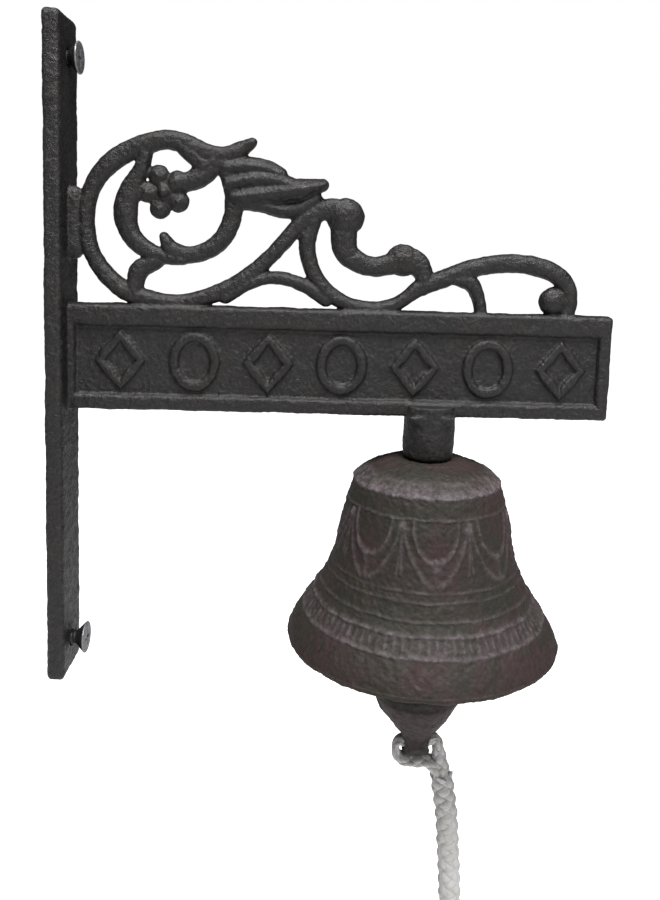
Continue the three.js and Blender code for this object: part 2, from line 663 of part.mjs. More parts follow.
const blackIron = () => metal('black_painted_iron', 0x2f2e30, 0.6);
const brownIron = () => metal('brown_cast_iron', 0x4a403c, 0.75);
const darkSteel = () => metal('dark_steel', 0x4c4c4e, 0.45);
const zincSteel = () => metal('zinc_plated_steel', 0x8d8f92, 0.35);

function cotton() {
  return new THREE.MeshStandardMaterial({
    name: 'white_cotton', color: 0xcfcdc8, metalness: 0, roughness: 0.95 });
}

// ---- assembly

function addNode(group, name, geometry, material) {
  geometry.computeVertexNormals();
  const mesh = new THREE.Mesh(geometry, material);
  mesh.name = name;
  group.add(mesh);
}

function buildBell() {
  const group = new THREE.Group();
  group.name = 'wall_mounted_bell';
  const screw = (standsOut, z) => toGeometry(screwSolid(PLATE_THICKNESS + standsOut, z));
  addNode(group, 'bracket_casting', toGeometry(bracketSolid()), blackIron());
  addNode(group, 'bell', bellGeometry(), brownIron());
  addNode(group, 'hanger_eye_bolt', toGeometry(hangerSolid()), zincSteel());
  addNode(group, 'hanger_washer', washerGeometry(), zincSteel());
  addNode(group, 'clapper_link', linkGeometry(), zincSteel());
  addNode(group, 'clapper', toGeometry(clapperSolid()), brownIron());
  addNode(group, 'rope_eye', ropeEyeGeometry(), cotton());
  addNode(group, 'pull_rope', ropeGeometry(), cotton());
  addNode(group, 'rope_end_knot', knotGeometry(), cotton());
  addNode(group, 'wall_screw_upper', screw(UPPER_SCREW_STANDS_OUT, UPPER_SCREW_Z), darkSteel());
  addNode(group, 'wall_screw_lower', screw(LOWER_SCREW_STANDS_OUT, LOWER_SCREW_Z), darkSteel());
  return group;
}

export default buildBell();
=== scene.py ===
"""A wall mounted bell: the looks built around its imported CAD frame.

The frame is in metres: the wall is the plane X = 0, the arm runs along +X, +Z is up, and
Z = 0 is the arm's top edge. Shapes below are given in millimetres and scaled by MM when a
mesh is made; the rope's route is in metres, as the frame is.
"""

import math

import bmesh
import bpy
import numpy as np
from mathutils import Matrix, Vector, noise


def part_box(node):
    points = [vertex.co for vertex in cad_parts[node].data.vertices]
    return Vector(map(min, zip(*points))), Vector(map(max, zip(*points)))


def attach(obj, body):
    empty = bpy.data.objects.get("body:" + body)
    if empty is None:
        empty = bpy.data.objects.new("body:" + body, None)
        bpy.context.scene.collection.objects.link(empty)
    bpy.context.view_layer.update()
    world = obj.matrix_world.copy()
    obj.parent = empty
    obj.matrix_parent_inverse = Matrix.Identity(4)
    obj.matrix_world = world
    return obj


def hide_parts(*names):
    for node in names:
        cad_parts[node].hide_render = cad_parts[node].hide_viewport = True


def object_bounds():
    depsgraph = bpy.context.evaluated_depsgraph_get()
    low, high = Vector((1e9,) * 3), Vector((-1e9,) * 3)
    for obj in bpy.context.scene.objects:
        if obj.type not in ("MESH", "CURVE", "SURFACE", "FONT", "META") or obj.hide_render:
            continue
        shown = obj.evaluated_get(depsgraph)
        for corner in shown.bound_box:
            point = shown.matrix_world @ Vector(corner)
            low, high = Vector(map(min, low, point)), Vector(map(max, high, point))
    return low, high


MM = 0.001

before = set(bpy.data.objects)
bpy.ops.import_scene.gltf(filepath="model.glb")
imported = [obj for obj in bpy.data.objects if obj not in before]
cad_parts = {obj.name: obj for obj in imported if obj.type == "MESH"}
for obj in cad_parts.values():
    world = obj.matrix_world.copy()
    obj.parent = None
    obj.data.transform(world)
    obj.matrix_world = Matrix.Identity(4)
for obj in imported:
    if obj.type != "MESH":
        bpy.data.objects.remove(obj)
cad_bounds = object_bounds()


# ---- places taken from the frame

def node_box(node):
    """A node's lowest and highest corners at rest, in millimetres."""
    return [np.array(corner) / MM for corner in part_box(node)]


BRACKET_LOW, BRACKET_HIGH = node_box("bracket_casting")
BELL_LOW, BELL_HIGH = node_box("bell")
CLAPPER_LOW, CLAPPER_HIGH = node_box("clapper")
LINK_LOW, LINK_HIGH = node_box("clapper_link")
BOLT_LOW, BOLT_HIGH = node_box("hanger_eye_bolt")
WASHER_LOW, WASHER_HIGH = node_box("hanger_washer")
BELL_X = (BELL_LOW[0] + BELL_HIGH[0]) / 2
BELL_TOP = BELL_HIGH[2]
BELL_HEIGHT = BELL_HIGH[2] - BELL_LOW[2]
LIP_RADIUS = (BELL_HIGH[1] - BELL_LOW[1]) / 2

# ---- sizes that the frame's boxes do not give, in millimetres
PLATE_THICKNESS = 6
PLATE_HALF_WIDTH = 10.5
ARM_HEIGHT = 36
ARM_THICKNESS = 8
WEB_THICKNESS = 4.4
TOP_RIM = 7.4
BOTTOM_RIM = 5.4
END_RIM = 4.6
ROOT_RIM = 2.5
SCROLL_DEPTH = 6
MOTIF_COUNT = 7
BOSS_RADIUS = 8.9
BOSS_BORE_RADIUS = 2.8
BOSS_BORE_DEPTH = 11
BELL_WALL = 3.6
CROWN_THICKNESS = 4
TAIL_RADIUS = 5.35
TAIL_HOLE_RADIUS = 3.1
TAIL_END_RADIUS = 4.9
TAIL_HOLE_Z = CLAPPER_LOW[2] + TAIL_RADIUS
BALL_RADIUS = (CLAPPER_HIGH[1] - CLAPPER_LOW[1]) / 2
BALL_Z = TAIL_HOLE_Z + 19.8
BOSS_BOTTOM = BELL_TOP + 0.3


# ---- meshes

def mesh_piece(name, points, faces):
    """A smooth shaded object from points in millimetres, with its faces turned outwards."""
    mesh = bpy.data.meshes.new(name)
    mesh.from_pydata((np.asarray(points) * MM).tolist(), [], faces)
    work = bmesh.new()
    work.from_mesh(mesh)
    bmesh.ops.recalc_face_normals(work, faces=work.faces)
    work.to_mesh(mesh)
    work.free()
    mesh.polygons.foreach_set("use_smooth", [True] * len(mesh.polygons))
    piece = bpy.data.objects.new(name, mesh)
    bpy.context.scene.collection.objects.link(piece)
    return piece


def skin(rings, closed=False):
    """Points and faces over rings of points; an open run of rings is capped at both ends."""
    rings = np.asarray(rings, float)
    count, sides, _ = rings.shape
    points = rings.reshape(-1, 3)
    step = np.arange(sides)
    faces = []
    for i in range(count if closed else count - 1):
        low = i * sides
        high = ((i + 1) % count) * sides
        quads = np.stack([low + step, low + (step + 1) % sides,
                          high + (step + 1) % sides, high + step], axis=1)
        faces += quads.tolist()
    if not closed:
        points = np.vstack([points, rings[0].mean(axis=0), rings[-1].mean(axis=0)])
        first = count * sides
        top = (count - 1) * sides
        faces += [(first, (k + 1) % sides, k) for k in range(sides)]
        faces += [(first + 1, top + k, top + (k + 1) % sides) for k in range(sides)]
    return points, faces


def smooth_line(stops, per_span):
    """A centripetal Catmull-Rom line through the stops, every column carried along."""
    stops = np.asarray(stops, float)
    spans = np.sqrt(np.linalg.norm(np.diff(stops[:, :2], axis=0), axis=1))
    rates = np.diff(stops, axis=0) / spans[:, None]
    slopes = np.vstack([
        rates[:1],
        (rates[:-1] * spans[1:, None] + rates[1:] * spans[:-1, None])
        / (spans[1:] + spans[:-1])[:, None],
        rates[-1:],
    ])
    line = []
    for i, span in enumerate(spans):
        for s in np.arange(per_span) / per_span:
            line.append(hermite(stops[i], stops[i + 1], slopes[i] * span, slopes[i + 1] * span, s))
    line.append(stops[-1])
    return np.array(line)


def hermite(start, end, leaving, arriving, s):
    """The cubic between two stops with the given end slopes, at s from 0 to 1."""
    return ((2 * s**3 - 3 * s**2 + 1) * start + (s**3 - 2 * s**2 + s) * leaving
            + (3 * s**2 - 2 * s**3) * end + (s**3 - s**2) * arriving)


def superellipse(half_width, half_depth, power, sides):
    """A rounded section: power 2 is an ellipse, more is squarer and less is sharper."""
    turn = 2 * math.pi * (np.arange(sides) + 0.5) / sides
    across = np.sign(np.cos(turn)) * np.abs(np.cos(turn)) ** (2 / power) * half_width
    deep = np.sign(np.sin(turn)) * np.abs(np.sin(turn)) ** (2 / power) * half_depth
    return across, deep


def stroke(stops, depth=SCROLL_DEPTH, power=2.3):
    """A rounded bar in the plane of the scrolls; each stop is [x, z, width]."""
    line = smooth_line(stops, 6)
    along = np.gradient(line[:, :2], axis=0)
    along /= np.linalg.norm(along, axis=1)[:, None]
    rings = []
    cap = np.radians([75, 50, 25])
    ends = [(line[0], along[0], -math.sin(a), math.cos(a)) for a in cap]
    ends += [(stop, heading, 0, 1) for stop, heading in zip(line, along)]
    ends += [(line[-1], along[-1], math.sin(a), math.cos(a)) for a in cap[::-1]]
    for (x, z, width), (tx, tz), beyond, shrink in ends:
        half = width / 2
        across, deep = superellipse(half * shrink, depth / 2 * (0.35 + 0.65 * shrink), power, 20)
        x += tx * half * beyond
        z += tz * half * beyond
        rings.append(np.stack([x - tz * across, deep, z + tx * across], axis=1))
    return skin(rings)


def rounded_box(low, high, radius, sides=20):
    """A box with its corners and edges rounded by an ellipsoid's three radii."""
    low = np.asarray(low, float)
    high = np.asarray(high, float)
    radius = np.asarray(radius, float)
    core = (high - low) / 2 - radius
    turns = 2 * math.pi * (np.arange(sides) + 0.5) / sides
    tilts = math.pi * (np.arange(sides // 2) + 0.5) / (sides // 2) - math.pi / 2
    ball = np.array([[(math.cos(t) * math.cos(u), math.sin(t) * math.cos(u), math.sin(u))
                      for t in turns] for u in tilts])
    ball[:, :, 2] /= ball[:, :, 2].max()
    return skin((low + high) / 2 + ball * radius + np.sign(ball) * core)


def turned(profile, sides=64, centre=(0, 0), closed=False):
    """A shape turned about a vertical line; the profile is [radius, height] from end to end."""
    turn = 2 * math.pi * np.arange(sides) / sides
    rings = [np.stack([centre[0] + r * np.cos(turn), centre[1] + r * np.sin(turn),
                       np.full(sides, z)], axis=1) for r, z in profile]
    return skin(rings, closed)


def ball(centre, radii, sides=24):
    """A stretched ball, standing on its poles in Z."""
    tilts = math.pi * (np.arange(sides // 2) + 0.5) / (sides // 2) - math.pi / 2
    points, faces = turned([(math.cos(u), math.sin(u)) for u in tilts], sides)
    return points * np.asarray(radii) + np.asarray(centre), faces


def loop_of_wire(centre_line, wire_radius, sides=16):
    """A closed ring of round wire; the centre line is a loop of points in one plane."""
    line = np.asarray(centre_line, float)
    along = np.roll(line, -1, axis=0) - np.roll(line, 1, axis=0)
    along /= np.linalg.norm(along, axis=1)[:, None]
    out = line - line.mean(axis=0)
    upright = np.cross(out[0], along[0])
    upright /= np.linalg.norm(upright)
    turn = 2 * math.pi * np.arange(sides) / sides
    rings = []
    for point, heading in zip(line, along):
        side = np.cross(heading, upright)
        rings.append(point + wire_radius * (np.outer(np.cos(turn), side)
                                            + np.outer(np.sin(turn), upright)))
    return skin(rings, closed=True)


def oval_line(centre, end_radius, straight, long_axis, short_axis, count=72):
    """A loop of points: two half circles joined by straights, long_axis being their direction."""
    turn = 2 * math.pi * (np.arange(count) + 0.5) / count
    along = end_radius * np.cos(turn) + np.sign(np.cos(turn)) * straight / 2
    across = end_radius * np.sin(turn)
    return (np.asarray(centre, float) + np.outer(along, long_axis)
            + np.outer(across, short_axis))


def joined(name, shapes):
    """One object holding several closed shapes."""
    points = []
    faces = []
    for shape_points, shape_faces in shapes:
        start = sum(len(p) for p in points)
        points.append(shape_points)
        faces += [tuple(start + i for i in face) for face in shape_faces]
    return mesh_piece(name, np.vstack(points), faces)


def applied(piece, kind, **settings):
    """Adds a modifier, bakes its result into the mesh and takes it off again."""
    modifier = piece.modifiers.new(kind, kind)
    for key, value in settings.items():
        setattr(modifier, key, value)
    graph = bpy.context.evaluated_depsgraph_get()
    made = bpy.data.meshes.new_from_object(piece.evaluated_get(graph))
    piece.modifiers.clear()
    piece.data = made
    made.polygons.foreach_set("use_smooth", [True] * len(made.polygons))
    return piece


def cut(piece, *cutters):
    """Takes the cutters away from the piece and removes them."""
    for cutter in cutters:
        applied(piece, "BOOLEAN", object=cutter, operation="DIFFERENCE", solver="EXACT")
        bpy.data.objects.remove(cutter)
    return piece


def cast_skin(piece, voxel, smoothing, layers, seed):
    """Melts the shapes of a piece into one skin and roughens it as sand casting does.

    layers are [size, depth] in millimetres: how wide the unevenness is and how deep.
    """
    applied(piece, "REMESH", mode="VOXEL", voxel_size=voxel * MM, use_smooth_shade=True)
    applied(piece, "SMOOTH", factor=0.5, iterations=smoothing)
    return roughen(piece, layers, seed)


def roughen(piece, layers, seed):
    mesh = piece.data
    count = len(mesh.vertices)
    points = np.empty(count * 3)
    mesh.vertices.foreach_get("co", points)
    points = points.reshape(-1, 3)
    normals = np.empty(count * 3)
    mesh.vertex_normals.foreach_get("vector", normals)
    normals = normals.reshape(-1, 3)
    offset = np.zeros(count)
    for i, (size, depth) in enumerate(layers):
        shifted = points / (size * MM) + seed + 7.3 * i
        offset += depth * np.array([noise.noise(Vector(p)) for p in shifted])
    mesh.vertices.foreach_set("co", (points + normals * offset[:, None] * MM).ravel())
    mesh.update()
    return piece


# ---- materials

class Finish:
    """A node material with helpers that keep each material's own function short."""

    def __init__(self, name, metallic, roughness, specular):
        self.material = bpy.data.materials.new(name)
        self.material.use_nodes = True
        self.nodes = self.material.node_tree.nodes
        self.links = self.material.node_tree.links
        self.shader = self.nodes["Principled BSDF"]
        self.shader.inputs["Metallic"].default_value = metallic
        self.shader.inputs["Roughness"].default_value = roughness
        self.shader.inputs["Specular IOR Level"].default_value = specular
        self.place = self.nodes.new("ShaderNodeTexCoord").outputs["Object"]

    def noise(self, size_mm, detail=4, roughness=0.55, distortion=0.0):
        node = self.nodes.new("ShaderNodeTexNoise")
        self.links.new(self.place, node.inputs["Vector"])
        node.inputs["Scale"].default_value = 1 / (size_mm * MM)
        node.inputs["Detail"].default_value = detail
        node.inputs["Roughness"].default_value = roughness
        node.inputs["Distortion"].default_value = distortion
        return node.outputs["Fac"]

    def cells(self, size_mm):
        node = self.nodes.new("ShaderNodeTexVoronoi")
        self.links.new(self.place, node.inputs["Vector"])
        node.inputs["Scale"].default_value = 1 / (size_mm * MM)
        return node.outputs["Distance"]

    def ramp(self, value, stops):
        node = self.nodes.new("ShaderNodeValToRGB")
        self.links.new(value, node.inputs["Fac"])
        elements = node.color_ramp.elements
        while len(elements) < len(stops):
            elements.new(0.5)
        for element, (position, shade) in zip(elements, stops):
            element.position = position
            colour = shade if isinstance(shade, tuple) else (shade, shade, shade)
            element.color = (*colour, 1)
        return node.outputs["Color"]

    def mix(self, factor, first, second, blend="MIX"):
        node = self.nodes.new("ShaderNodeMix")
        node.data_type = "RGBA"
        node.blend_type = blend
        for name, value in (("Factor", factor), ("A", first), ("B", second)):
            target = next(s for s in node.inputs if s.name == name and s.enabled)
            if isinstance(value, bpy.types.NodeSocket):
                self.links.new(value, target)
            elif isinstance(value, tuple):
                target.default_value = (*value, 1)
            else:
                target.default_value = value
        return next(s for s in node.outputs if s.enabled)

    def maths(self, operation, first, second):
        node = self.nodes.new("ShaderNodeMath")
        node.operation = operation
        for target, value in zip(node.inputs, (first, second)):
            if isinstance(value, bpy.types.NodeSocket):
                self.links.new(value, target)
            else:
                target.default_value = value
        return node.outputs["Value"]

    def attribute(self, name):
        node = self.nodes.new("ShaderNodeAttribute")
        node.attribute_name = name
        return node.outputs["Fac"]

    def pointed(self, low, high):
        """0 in hollows and 1 on sharp edges."""
        geometry = self.nodes.new("ShaderNodeNewGeometry")
        return self.ramp(geometry.outputs["Pointiness"], [(low, 0.0), (high, 1.0)])

    def bump(self, height, depth_mm, strength=1.0, over=None):
        node = self.nodes.new("ShaderNodeBump")
        self.links.new(height, node.inputs["Height"])
        node.inputs["Distance"].default_value = depth_mm * MM
        node.inputs["Strength"].default_value = strength
        if over is not None:
            self.links.new(over, node.inputs["Normal"])
        return node.outputs["Normal"]

    def use(self, colour=None, roughness=None, normal=None):
        pairs = (("Base Color", colour), ("Roughness", roughness), ("Normal", normal))
        for name, value in pairs:
            if value is not None:
                self.links.new(value, self.shader.inputs[name])
        return self.material


def black_iron():
    """Black paint over a gritty sand casting; greyer on the edges, partly thinned paint and partly
    a painted highlight.
    """
    finish = Finish("black_painted_iron", 0.0, 0.5, 0.42)
    patches = finish.ramp(finish.noise(14, 3), [
        (0.3, (0.0060, 0.0060, 0.0068)), (0.55, (0.0085, 0.0068, 0.0066)),
        (0.75, (0.0090, 0.0074, 0.0055))])
    grit = finish.ramp(finish.noise(1.3, 5, 0.7), [(0.45, 0.0), (0.72, 1.0)])
    speckled = finish.mix(finish.maths("MULTIPLY", grit, 0.5), patches, (0.036, 0.034, 0.035))
    # Paler on sharp edges: thinned paint, and a painted highlight along rims and bevels.
    edges = finish.maths("MULTIPLY", finish.pointed(0.52, 0.60), 0.5)
    colour = finish.mix(edges, speckled, (0.055, 0.053, 0.053))
    roughness = finish.ramp(finish.noise(2.2, 4, 0.6), [(0.3, 0.30), (0.7, 0.58)])
    pits = finish.bump(finish.cells(1.7), 0.25, 0.6)
    sand = finish.bump(finish.noise(0.85, 4, 0.65), 0.42, 1.0, pits)
    return finish.use(colour, roughness, sand)


def brown_iron():
    """Dark brown cast iron with plum and olive patches, paler on what stands out: partly worn iron
    and partly painted highlight on the bell's shoulder and ridges.
    """
    finish = Finish("brown_cast_iron", 0.0, 0.7, 0.38)
    patches = finish.ramp(finish.noise(17, 3, 0.5, 0.6), [
        (0.34, (0.0175, 0.0160, 0.0100)), (0.48, (0.0220, 0.0155, 0.0120)),
        (0.60, (0.0300, 0.0155, 0.0150)), (0.72, (0.0190, 0.0160, 0.0115))])
    dark = finish.ramp(finish.noise(1.9, 5, 0.72), [(0.36, 1.0), (0.52, 0.0)])
    pitted = finish.mix(finish.maths("MULTIPLY", dark, 0.55), patches, (0.006, 0.005, 0.004))
    # Specks that break up the paler colour, over the real wear and the painted highlight alike.
    wear_and_highlight_specks = finish.ramp(finish.noise(2.6, 5, 0.75), [(0.40, 0.15), (0.62, 1.0)])
    wear_and_highlight = finish.maths("MULTIPLY", finish.attribute("wear_and_highlight"), wear_and_highlight_specks)
    # The paler colour: worn iron, and painted highlight where the mesh's attribute carries it.
    colour = finish.mix(wear_and_highlight, pitted, (0.120, 0.100, 0.108))
    roughness = finish.ramp(finish.noise(2.2, 4, 0.6), [(0.3, 0.52), (0.7, 0.85)])
    pits = finish.bump(finish.cells(1.5), 0.2, 0.5)
    sand = finish.bump(finish.noise(0.8, 4, 0.7), 0.3, 0.8, pits)
    return finish.use(colour, roughness, sand)


def zinc_steel():
    """Zinc plating, slightly mottled and dulled."""
    finish = Finish("zinc_plated_steel", 0.9, 0.38, 0.5)
    colour = finish.ramp(finish.noise(3, 4), [(0.3, (0.33, 0.33, 0.34)), (0.7, (0.52, 0.52, 0.53))])
    roughness = finish.ramp(finish.noise(1.4, 4), [(0.3, 0.28), (0.7, 0.55)])
    return finish.use(colour, roughness, finish.bump(finish.noise(0.5), 0.05, 0.4))


def dark_steel():
    """Steel wood screws: bare on the head's face, near black on the cone and threads."""
    finish = Finish("dark_steel", 0.7, 0.42, 0.4)
    bare = finish.ramp(finish.noise(1.6, 5, 0.65), [
        (0.3, (0.10, 0.10, 0.105)), (0.55, (0.24, 0.24, 0.25)), (0.75, (0.42, 0.42, 0.43))])
    base_tone = finish.ramp(finish.noise(2.1, 4), [
        (0.3, (0.016, 0.016, 0.017)), (0.7, (0.05, 0.05, 0.052))])
    # Pale bare steel on the head's face, where the screw's attribute is 1; near black elsewhere.
    colour = finish.mix(finish.attribute("wear_and_highlight"), base_tone, bare)
    roughness = finish.ramp(finish.noise(0.9, 4), [(0.3, 0.34), (0.7, 0.62)])
    return finish.use(colour, roughness, finish.bump(finish.noise(0.35), 0.05, 0.5))


def white_cotton():
    """Off-white cotton: fine yarns running along each strand, greyer between them."""
    finish = Finish("white_cotton", 0.0, 0.95, 0.15)
    finish.shader.inputs["Sheen Weight"].default_value = 0.25
    finish.shader.inputs["Sheen Roughness"].default_value = 0.5
    turn = finish.attribute("yarn")
    yarns = finish.maths("ABSOLUTE", finish.maths("SINE", turn, 0.0), 0.0)
    fibres = finish.noise(0.35, 5, 0.7)
    base_tone = finish.ramp(finish.noise(9, 3), [
        (0.35, (0.57, 0.565, 0.54)), (0.55, (0.62, 0.60, 0.60)), (0.7, (0.58, 0.55, 0.56))])
    shade = finish.ramp(yarns, [(0.0, 0.82), (0.45, 1.0)])
    colour = finish.mix(1.0, base_tone, shade, "MULTIPLY")
    height = finish.maths("ADD", finish.maths("MULTIPLY", yarns, 0.7), fibres)
    return finish.use(colour, None, finish.bump(height, 0.25, 0.8))


BLACK_IRON = black_iron()
BROWN_IRON = brown_iron()
ZINC = zinc_steel()
DARK_STEEL = dark_steel()
COTTON = white_cotton()


def settle(piece, body, nodes, material):
    """Gives a finished piece its material, parents it to its body's empty and hides the frame's
    parts that it stands for.
    """
    piece.data.materials.clear()
    piece.data.materials.append(material)
    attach(piece, body)
    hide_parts(*nodes)
    return piece


# ---- camera

CAMERA_PLACE = (0.08961, -0.28707, 0.02461)
CAMERA_YAW = 1.36
CAMERA_PITCH = 6.29
CAMERA_ROLL = 1.66
CAMERA_LENS = 33.76
CAMERA_SHIFT = (-0.0071, -0.1336)


def studio_camera():
    """Turned right by the yaw, tipped down by the pitch, then rolled about its own axis."""
    yaw, pitch, roll = (math.radians(a) for a in (CAMERA_YAW, CAMERA_PITCH, CAMERA_ROLL))
    forward = Vector((math.sin(yaw) * math.cos(pitch), math.cos(yaw) * math.cos(pitch),
                      -math.sin(pitch)))
    level = Vector((math.cos(yaw), -math.sin(yaw), 0))
    upward = level.cross(forward)
    right = math.cos(roll) * level + math.sin(roll) * upward
    top = math.cos(roll) * upward - math.sin(roll) * level
    data = bpy.data.cameras.new("studio_camera")
    data.sensor_fit = "VERTICAL"
    data.sensor_height = 36
    data.lens = CAMERA_LENS
    data.shift_x, data.shift_y = CAMERA_SHIFT
    camera = bpy.data.objects.new("studio_camera", data)
    camera.matrix_world = Matrix((
        (right.x, top.x, -forward.x, CAMERA_PLACE[0]),
        (right.y, top.y, -forward.y, CAMERA_PLACE[1]),
        (right.z, top.z, -forward.z, CAMERA_PLACE[2]),
        (0, 0, 0, 1)))
    bpy.context.scene.collection.objects.link(camera)
    bpy.context.scene.camera = camera


studio_camera()

# ---- rope

ROPE_ROUTE = [
    (0.1393, 0, -0.1683), (0.1402, 0, -0.1742), (0.1417, 0, -0.1833), (0.1429, 0, -0.1963),
    (0.1441, 0, -0.2123), (0.1452, 0, -0.2343), (0.1459, 0, -0.2603), (0.1462, 0, -0.2902),
]
ROPE_TURN = 21.0
STRAND_ORBIT = 2.35
STRAND_SWING = 0.45
STRAND_HALF_WIDTH = 1.75
STRAND_HALF_DEPTH = 1.0
CORE_RADIUS = 1.8
FREE_FULLNESS = 1.13
STRAND_COUNT = 8
STRAND_SIDES = 10
YARNS = 3
YARN_RATE = 0.9
CORE_SIDES = 12
ROPE_SAMPLES = 28
EYE_SAMPLES = 10


def frames_of(line):
    """A heading and two normals at each point of a line, carried along without twisting."""
    heading = np.gradient(line, axis=0)
    heading /= np.linalg.norm(heading, axis=1)[:, None]
    first = np.cross(heading[0], (0, 1, 0))
    first /= np.linalg.norm(first)
    normals = []
    for direction in heading:
        first = first - direction * np.dot(first, direction)
        first /= np.linalg.norm(first)
        normals.append(first)
    normals = np.array(normals)
    return heading, normals, np.cross(heading, normals)


def braid(line, squeeze, turn_length=ROPE_TURN):
    """Eight strands, four each way, each passing over and under.

    line is in millimetres. squeeze scales the section at each point, along both normals.
    Returns shapes, with the yarn's phase at each point.
    """
    heading, across, deep = frames_of(line)
    steps = np.linalg.norm(np.diff(line, axis=0), axis=1)
    length = np.concatenate([[0], np.cumsum(steps)])
    whole = length[-1]
    turns = whole / turn_length
    run = 2 * math.pi * turns * length / whole
    around = 2 * math.pi * np.arange(STRAND_SIDES) / STRAND_SIDES
    shapes = []
    for strand in range(STRAND_COUNT):
        way = 1 if strand % 2 else -1
        angle = (strand // 2) * math.pi / 2 + way * run
        orbit = STRAND_ORBIT + way * STRAND_SWING * np.cos(4 * run)
        out = (across * np.cos(angle)[:, None] + deep * np.sin(angle)[:, None])
        side = (deep * np.cos(angle)[:, None] - across * np.sin(angle)[:, None])
        slant = way * 2 * math.pi * turns * STRAND_ORBIT / whole
        flat = (side - heading * slant) / math.hypot(1, slant)
        rings = []
        for i, point in enumerate(line):
            ring = (out[i] * orbit[i]
                    + np.outer(np.cos(around) * STRAND_HALF_WIDTH, flat[i])
                    + np.outer(np.sin(around) * STRAND_HALF_DEPTH, out[i]))
            sideways = ring @ across[i]
            depth = ring @ deep[i]
            ring += np.outer(sideways * (squeeze[i][0] - 1), across[i])
            ring += np.outer(depth * (squeeze[i][1] - 1), deep[i])
            rings.append(point + ring)
        phase = np.add.outer(length * YARN_RATE, around * YARNS / 2)
        shapes.append((*skin(rings), phase.ravel()))
    return shapes


def rope_core(line):
    _, across, deep = frames_of(line)
    around = 2 * math.pi * np.arange(CORE_SIDES) / CORE_SIDES
    rings = [point + CORE_RADIUS * (np.outer(np.cos(around), a) + np.outer(np.sin(around), b))
             for point, a, b in zip(line, across, deep)]
    return (*skin(rings), np.zeros(len(line) * CORE_SIDES))


def rope_piece(name, shapes):
    """Joins strands into one piece and keeps each point's yarn phase on the mesh."""
    piece = joined(name, [shape[:2] for shape in shapes])
    phases = []
    for points, _, phase in shapes:
        phases.append(np.concatenate([phase, np.zeros(len(points) - len(phase))]))
    layer = piece.data.attributes.new("yarn", "FLOAT", "POINT")
    layer.data.foreach_set("value", np.concatenate(phases))
    return piece


def pull_rope():
    line = smooth_line([(x, z, y) for x, y, z in np.array(ROPE_ROUTE) / MM], ROPE_SAMPLES)
    line = line[:, [0, 2, 1]]
    fullness = np.full((len(line), 2), FREE_FULLNESS)
    return rope_piece("pull_rope_braid", [*braid(line, fullness), rope_core(line)]), line


# The eye's line as [x, z, thickness, breadth], the last two as shares of the free rope's,
# measured from the tail's hole: up beside the tail, through its hole, round its other side
# and back under it to the standing part.
EYE_LINE = [
    [10.2, -16, 0.85, 0.9], [9.7, -11, 0.82, 0.9], [8.8, -6.6, 0.76, 0.9], [8.2, -2.8, 0.6, 0.82],
    [7.9, -0.4, 0.5, 0.74], [6.8, 1.0, 0.42, 0.7], [5.0, 0.4, 0.6, 0.68], [2.6, 0, 0.68, 0.68],
    [0, 0, 0.68, 0.68], [-3.4, 0, 0.68, 0.68], [-5.6, 0, 0.56, 0.7], [-7.0, -1.2, 0.4, 0.78],
    [-7.2, -3.2, 0.4, 0.84], [-6.5, -5.8, 0.5, 0.92], [-3.6, -7.4, 0.56, 0.98],
    [0, -7.6, 0.58, 1], [3.6, -7.7, 0.6, 1], [6.4, -9.2, 0.66, 1], [8.8, -12.8, 0.6, 0.95],
]


def rope_eye():
    """The spliced eye, squeezed thin where it hugs the tail."""
    line = smooth_line(EYE_LINE, EYE_SAMPLES)
    path = np.stack([BELL_X + line[:, 0], np.zeros(len(line)), TAIL_HOLE_Z + line[:, 1]], axis=1)
    return rope_piece("rope_eye_braid", braid(path, line[:, 2:4]))


KNOT_TURNS = 2.4
KNOT_SAMPLES = 150
KNOT_ORBIT = 2.9
KNOT_ENDS = (0.06, 0.94)
KNOT_ROUNDNESS = 0.35
KNOT_RISE = 0.9
KNOT_END_ROOM = 2.4
KNOT_ROPE_SHARE = 0.86
KNOT_ROPE_TURN = 15
KNOT_HEART = 3.4
KNOT_HEART_ROOM = 1.5
HEART_SIDES = 24


def rope_knot():
    """A barrel knot: the rope wound round itself, with its strands fraying below."""
    low, high = node_box("rope_end_knot")
    centre = (low + high) / 2
    half = (high[2] - low[2]) / 2
    s = np.linspace(0, 1, KNOT_SAMPLES)
    angle = 2 * math.pi * KNOT_TURNS * s
    orbit = KNOT_ORBIT * np.sin(math.pi * np.clip(s, *KNOT_ENDS)) ** KNOT_ROUNDNESS
    middle = centre[2] + KNOT_RISE
    wound = np.stack([centre[0] + orbit * np.cos(angle), orbit * np.sin(angle),
                      middle + (half - KNOT_END_ROOM) * (1 - 2 * s)], axis=1)
    share = np.full((KNOT_SAMPLES, 2), KNOT_ROPE_SHARE)
    shapes = braid(wound, share, turn_length=KNOT_ROPE_TURN)
    heart = ball(centre, (KNOT_HEART, KNOT_HEART, half - KNOT_HEART_ROOM), HEART_SIDES)
    shapes.append((*heart, np.zeros(HEART_SIDES * (HEART_SIDES // 2))))
    shapes += tuft(np.array([centre[0], 0, low[2] + KNOT_END_ROOM]))
    return rope_piece("rope_end_knot_wound", shapes)


TUFT_SEED = 7
TUFT_YARNS = 52
TUFT_SPREAD = (0.2, 0.62)
TUFT_LENGTH = (7.5, 10.5)
TUFT_ROOT = 2.6
TUFT_FAN = 0.45
TUFT_WAVE = 0.25
TUFT_SAMPLES = 9
TUFT_SIDES = 6
TUFT_YARN_RADIUS = 0.46
TUFT_YARN_THINS = 0.22


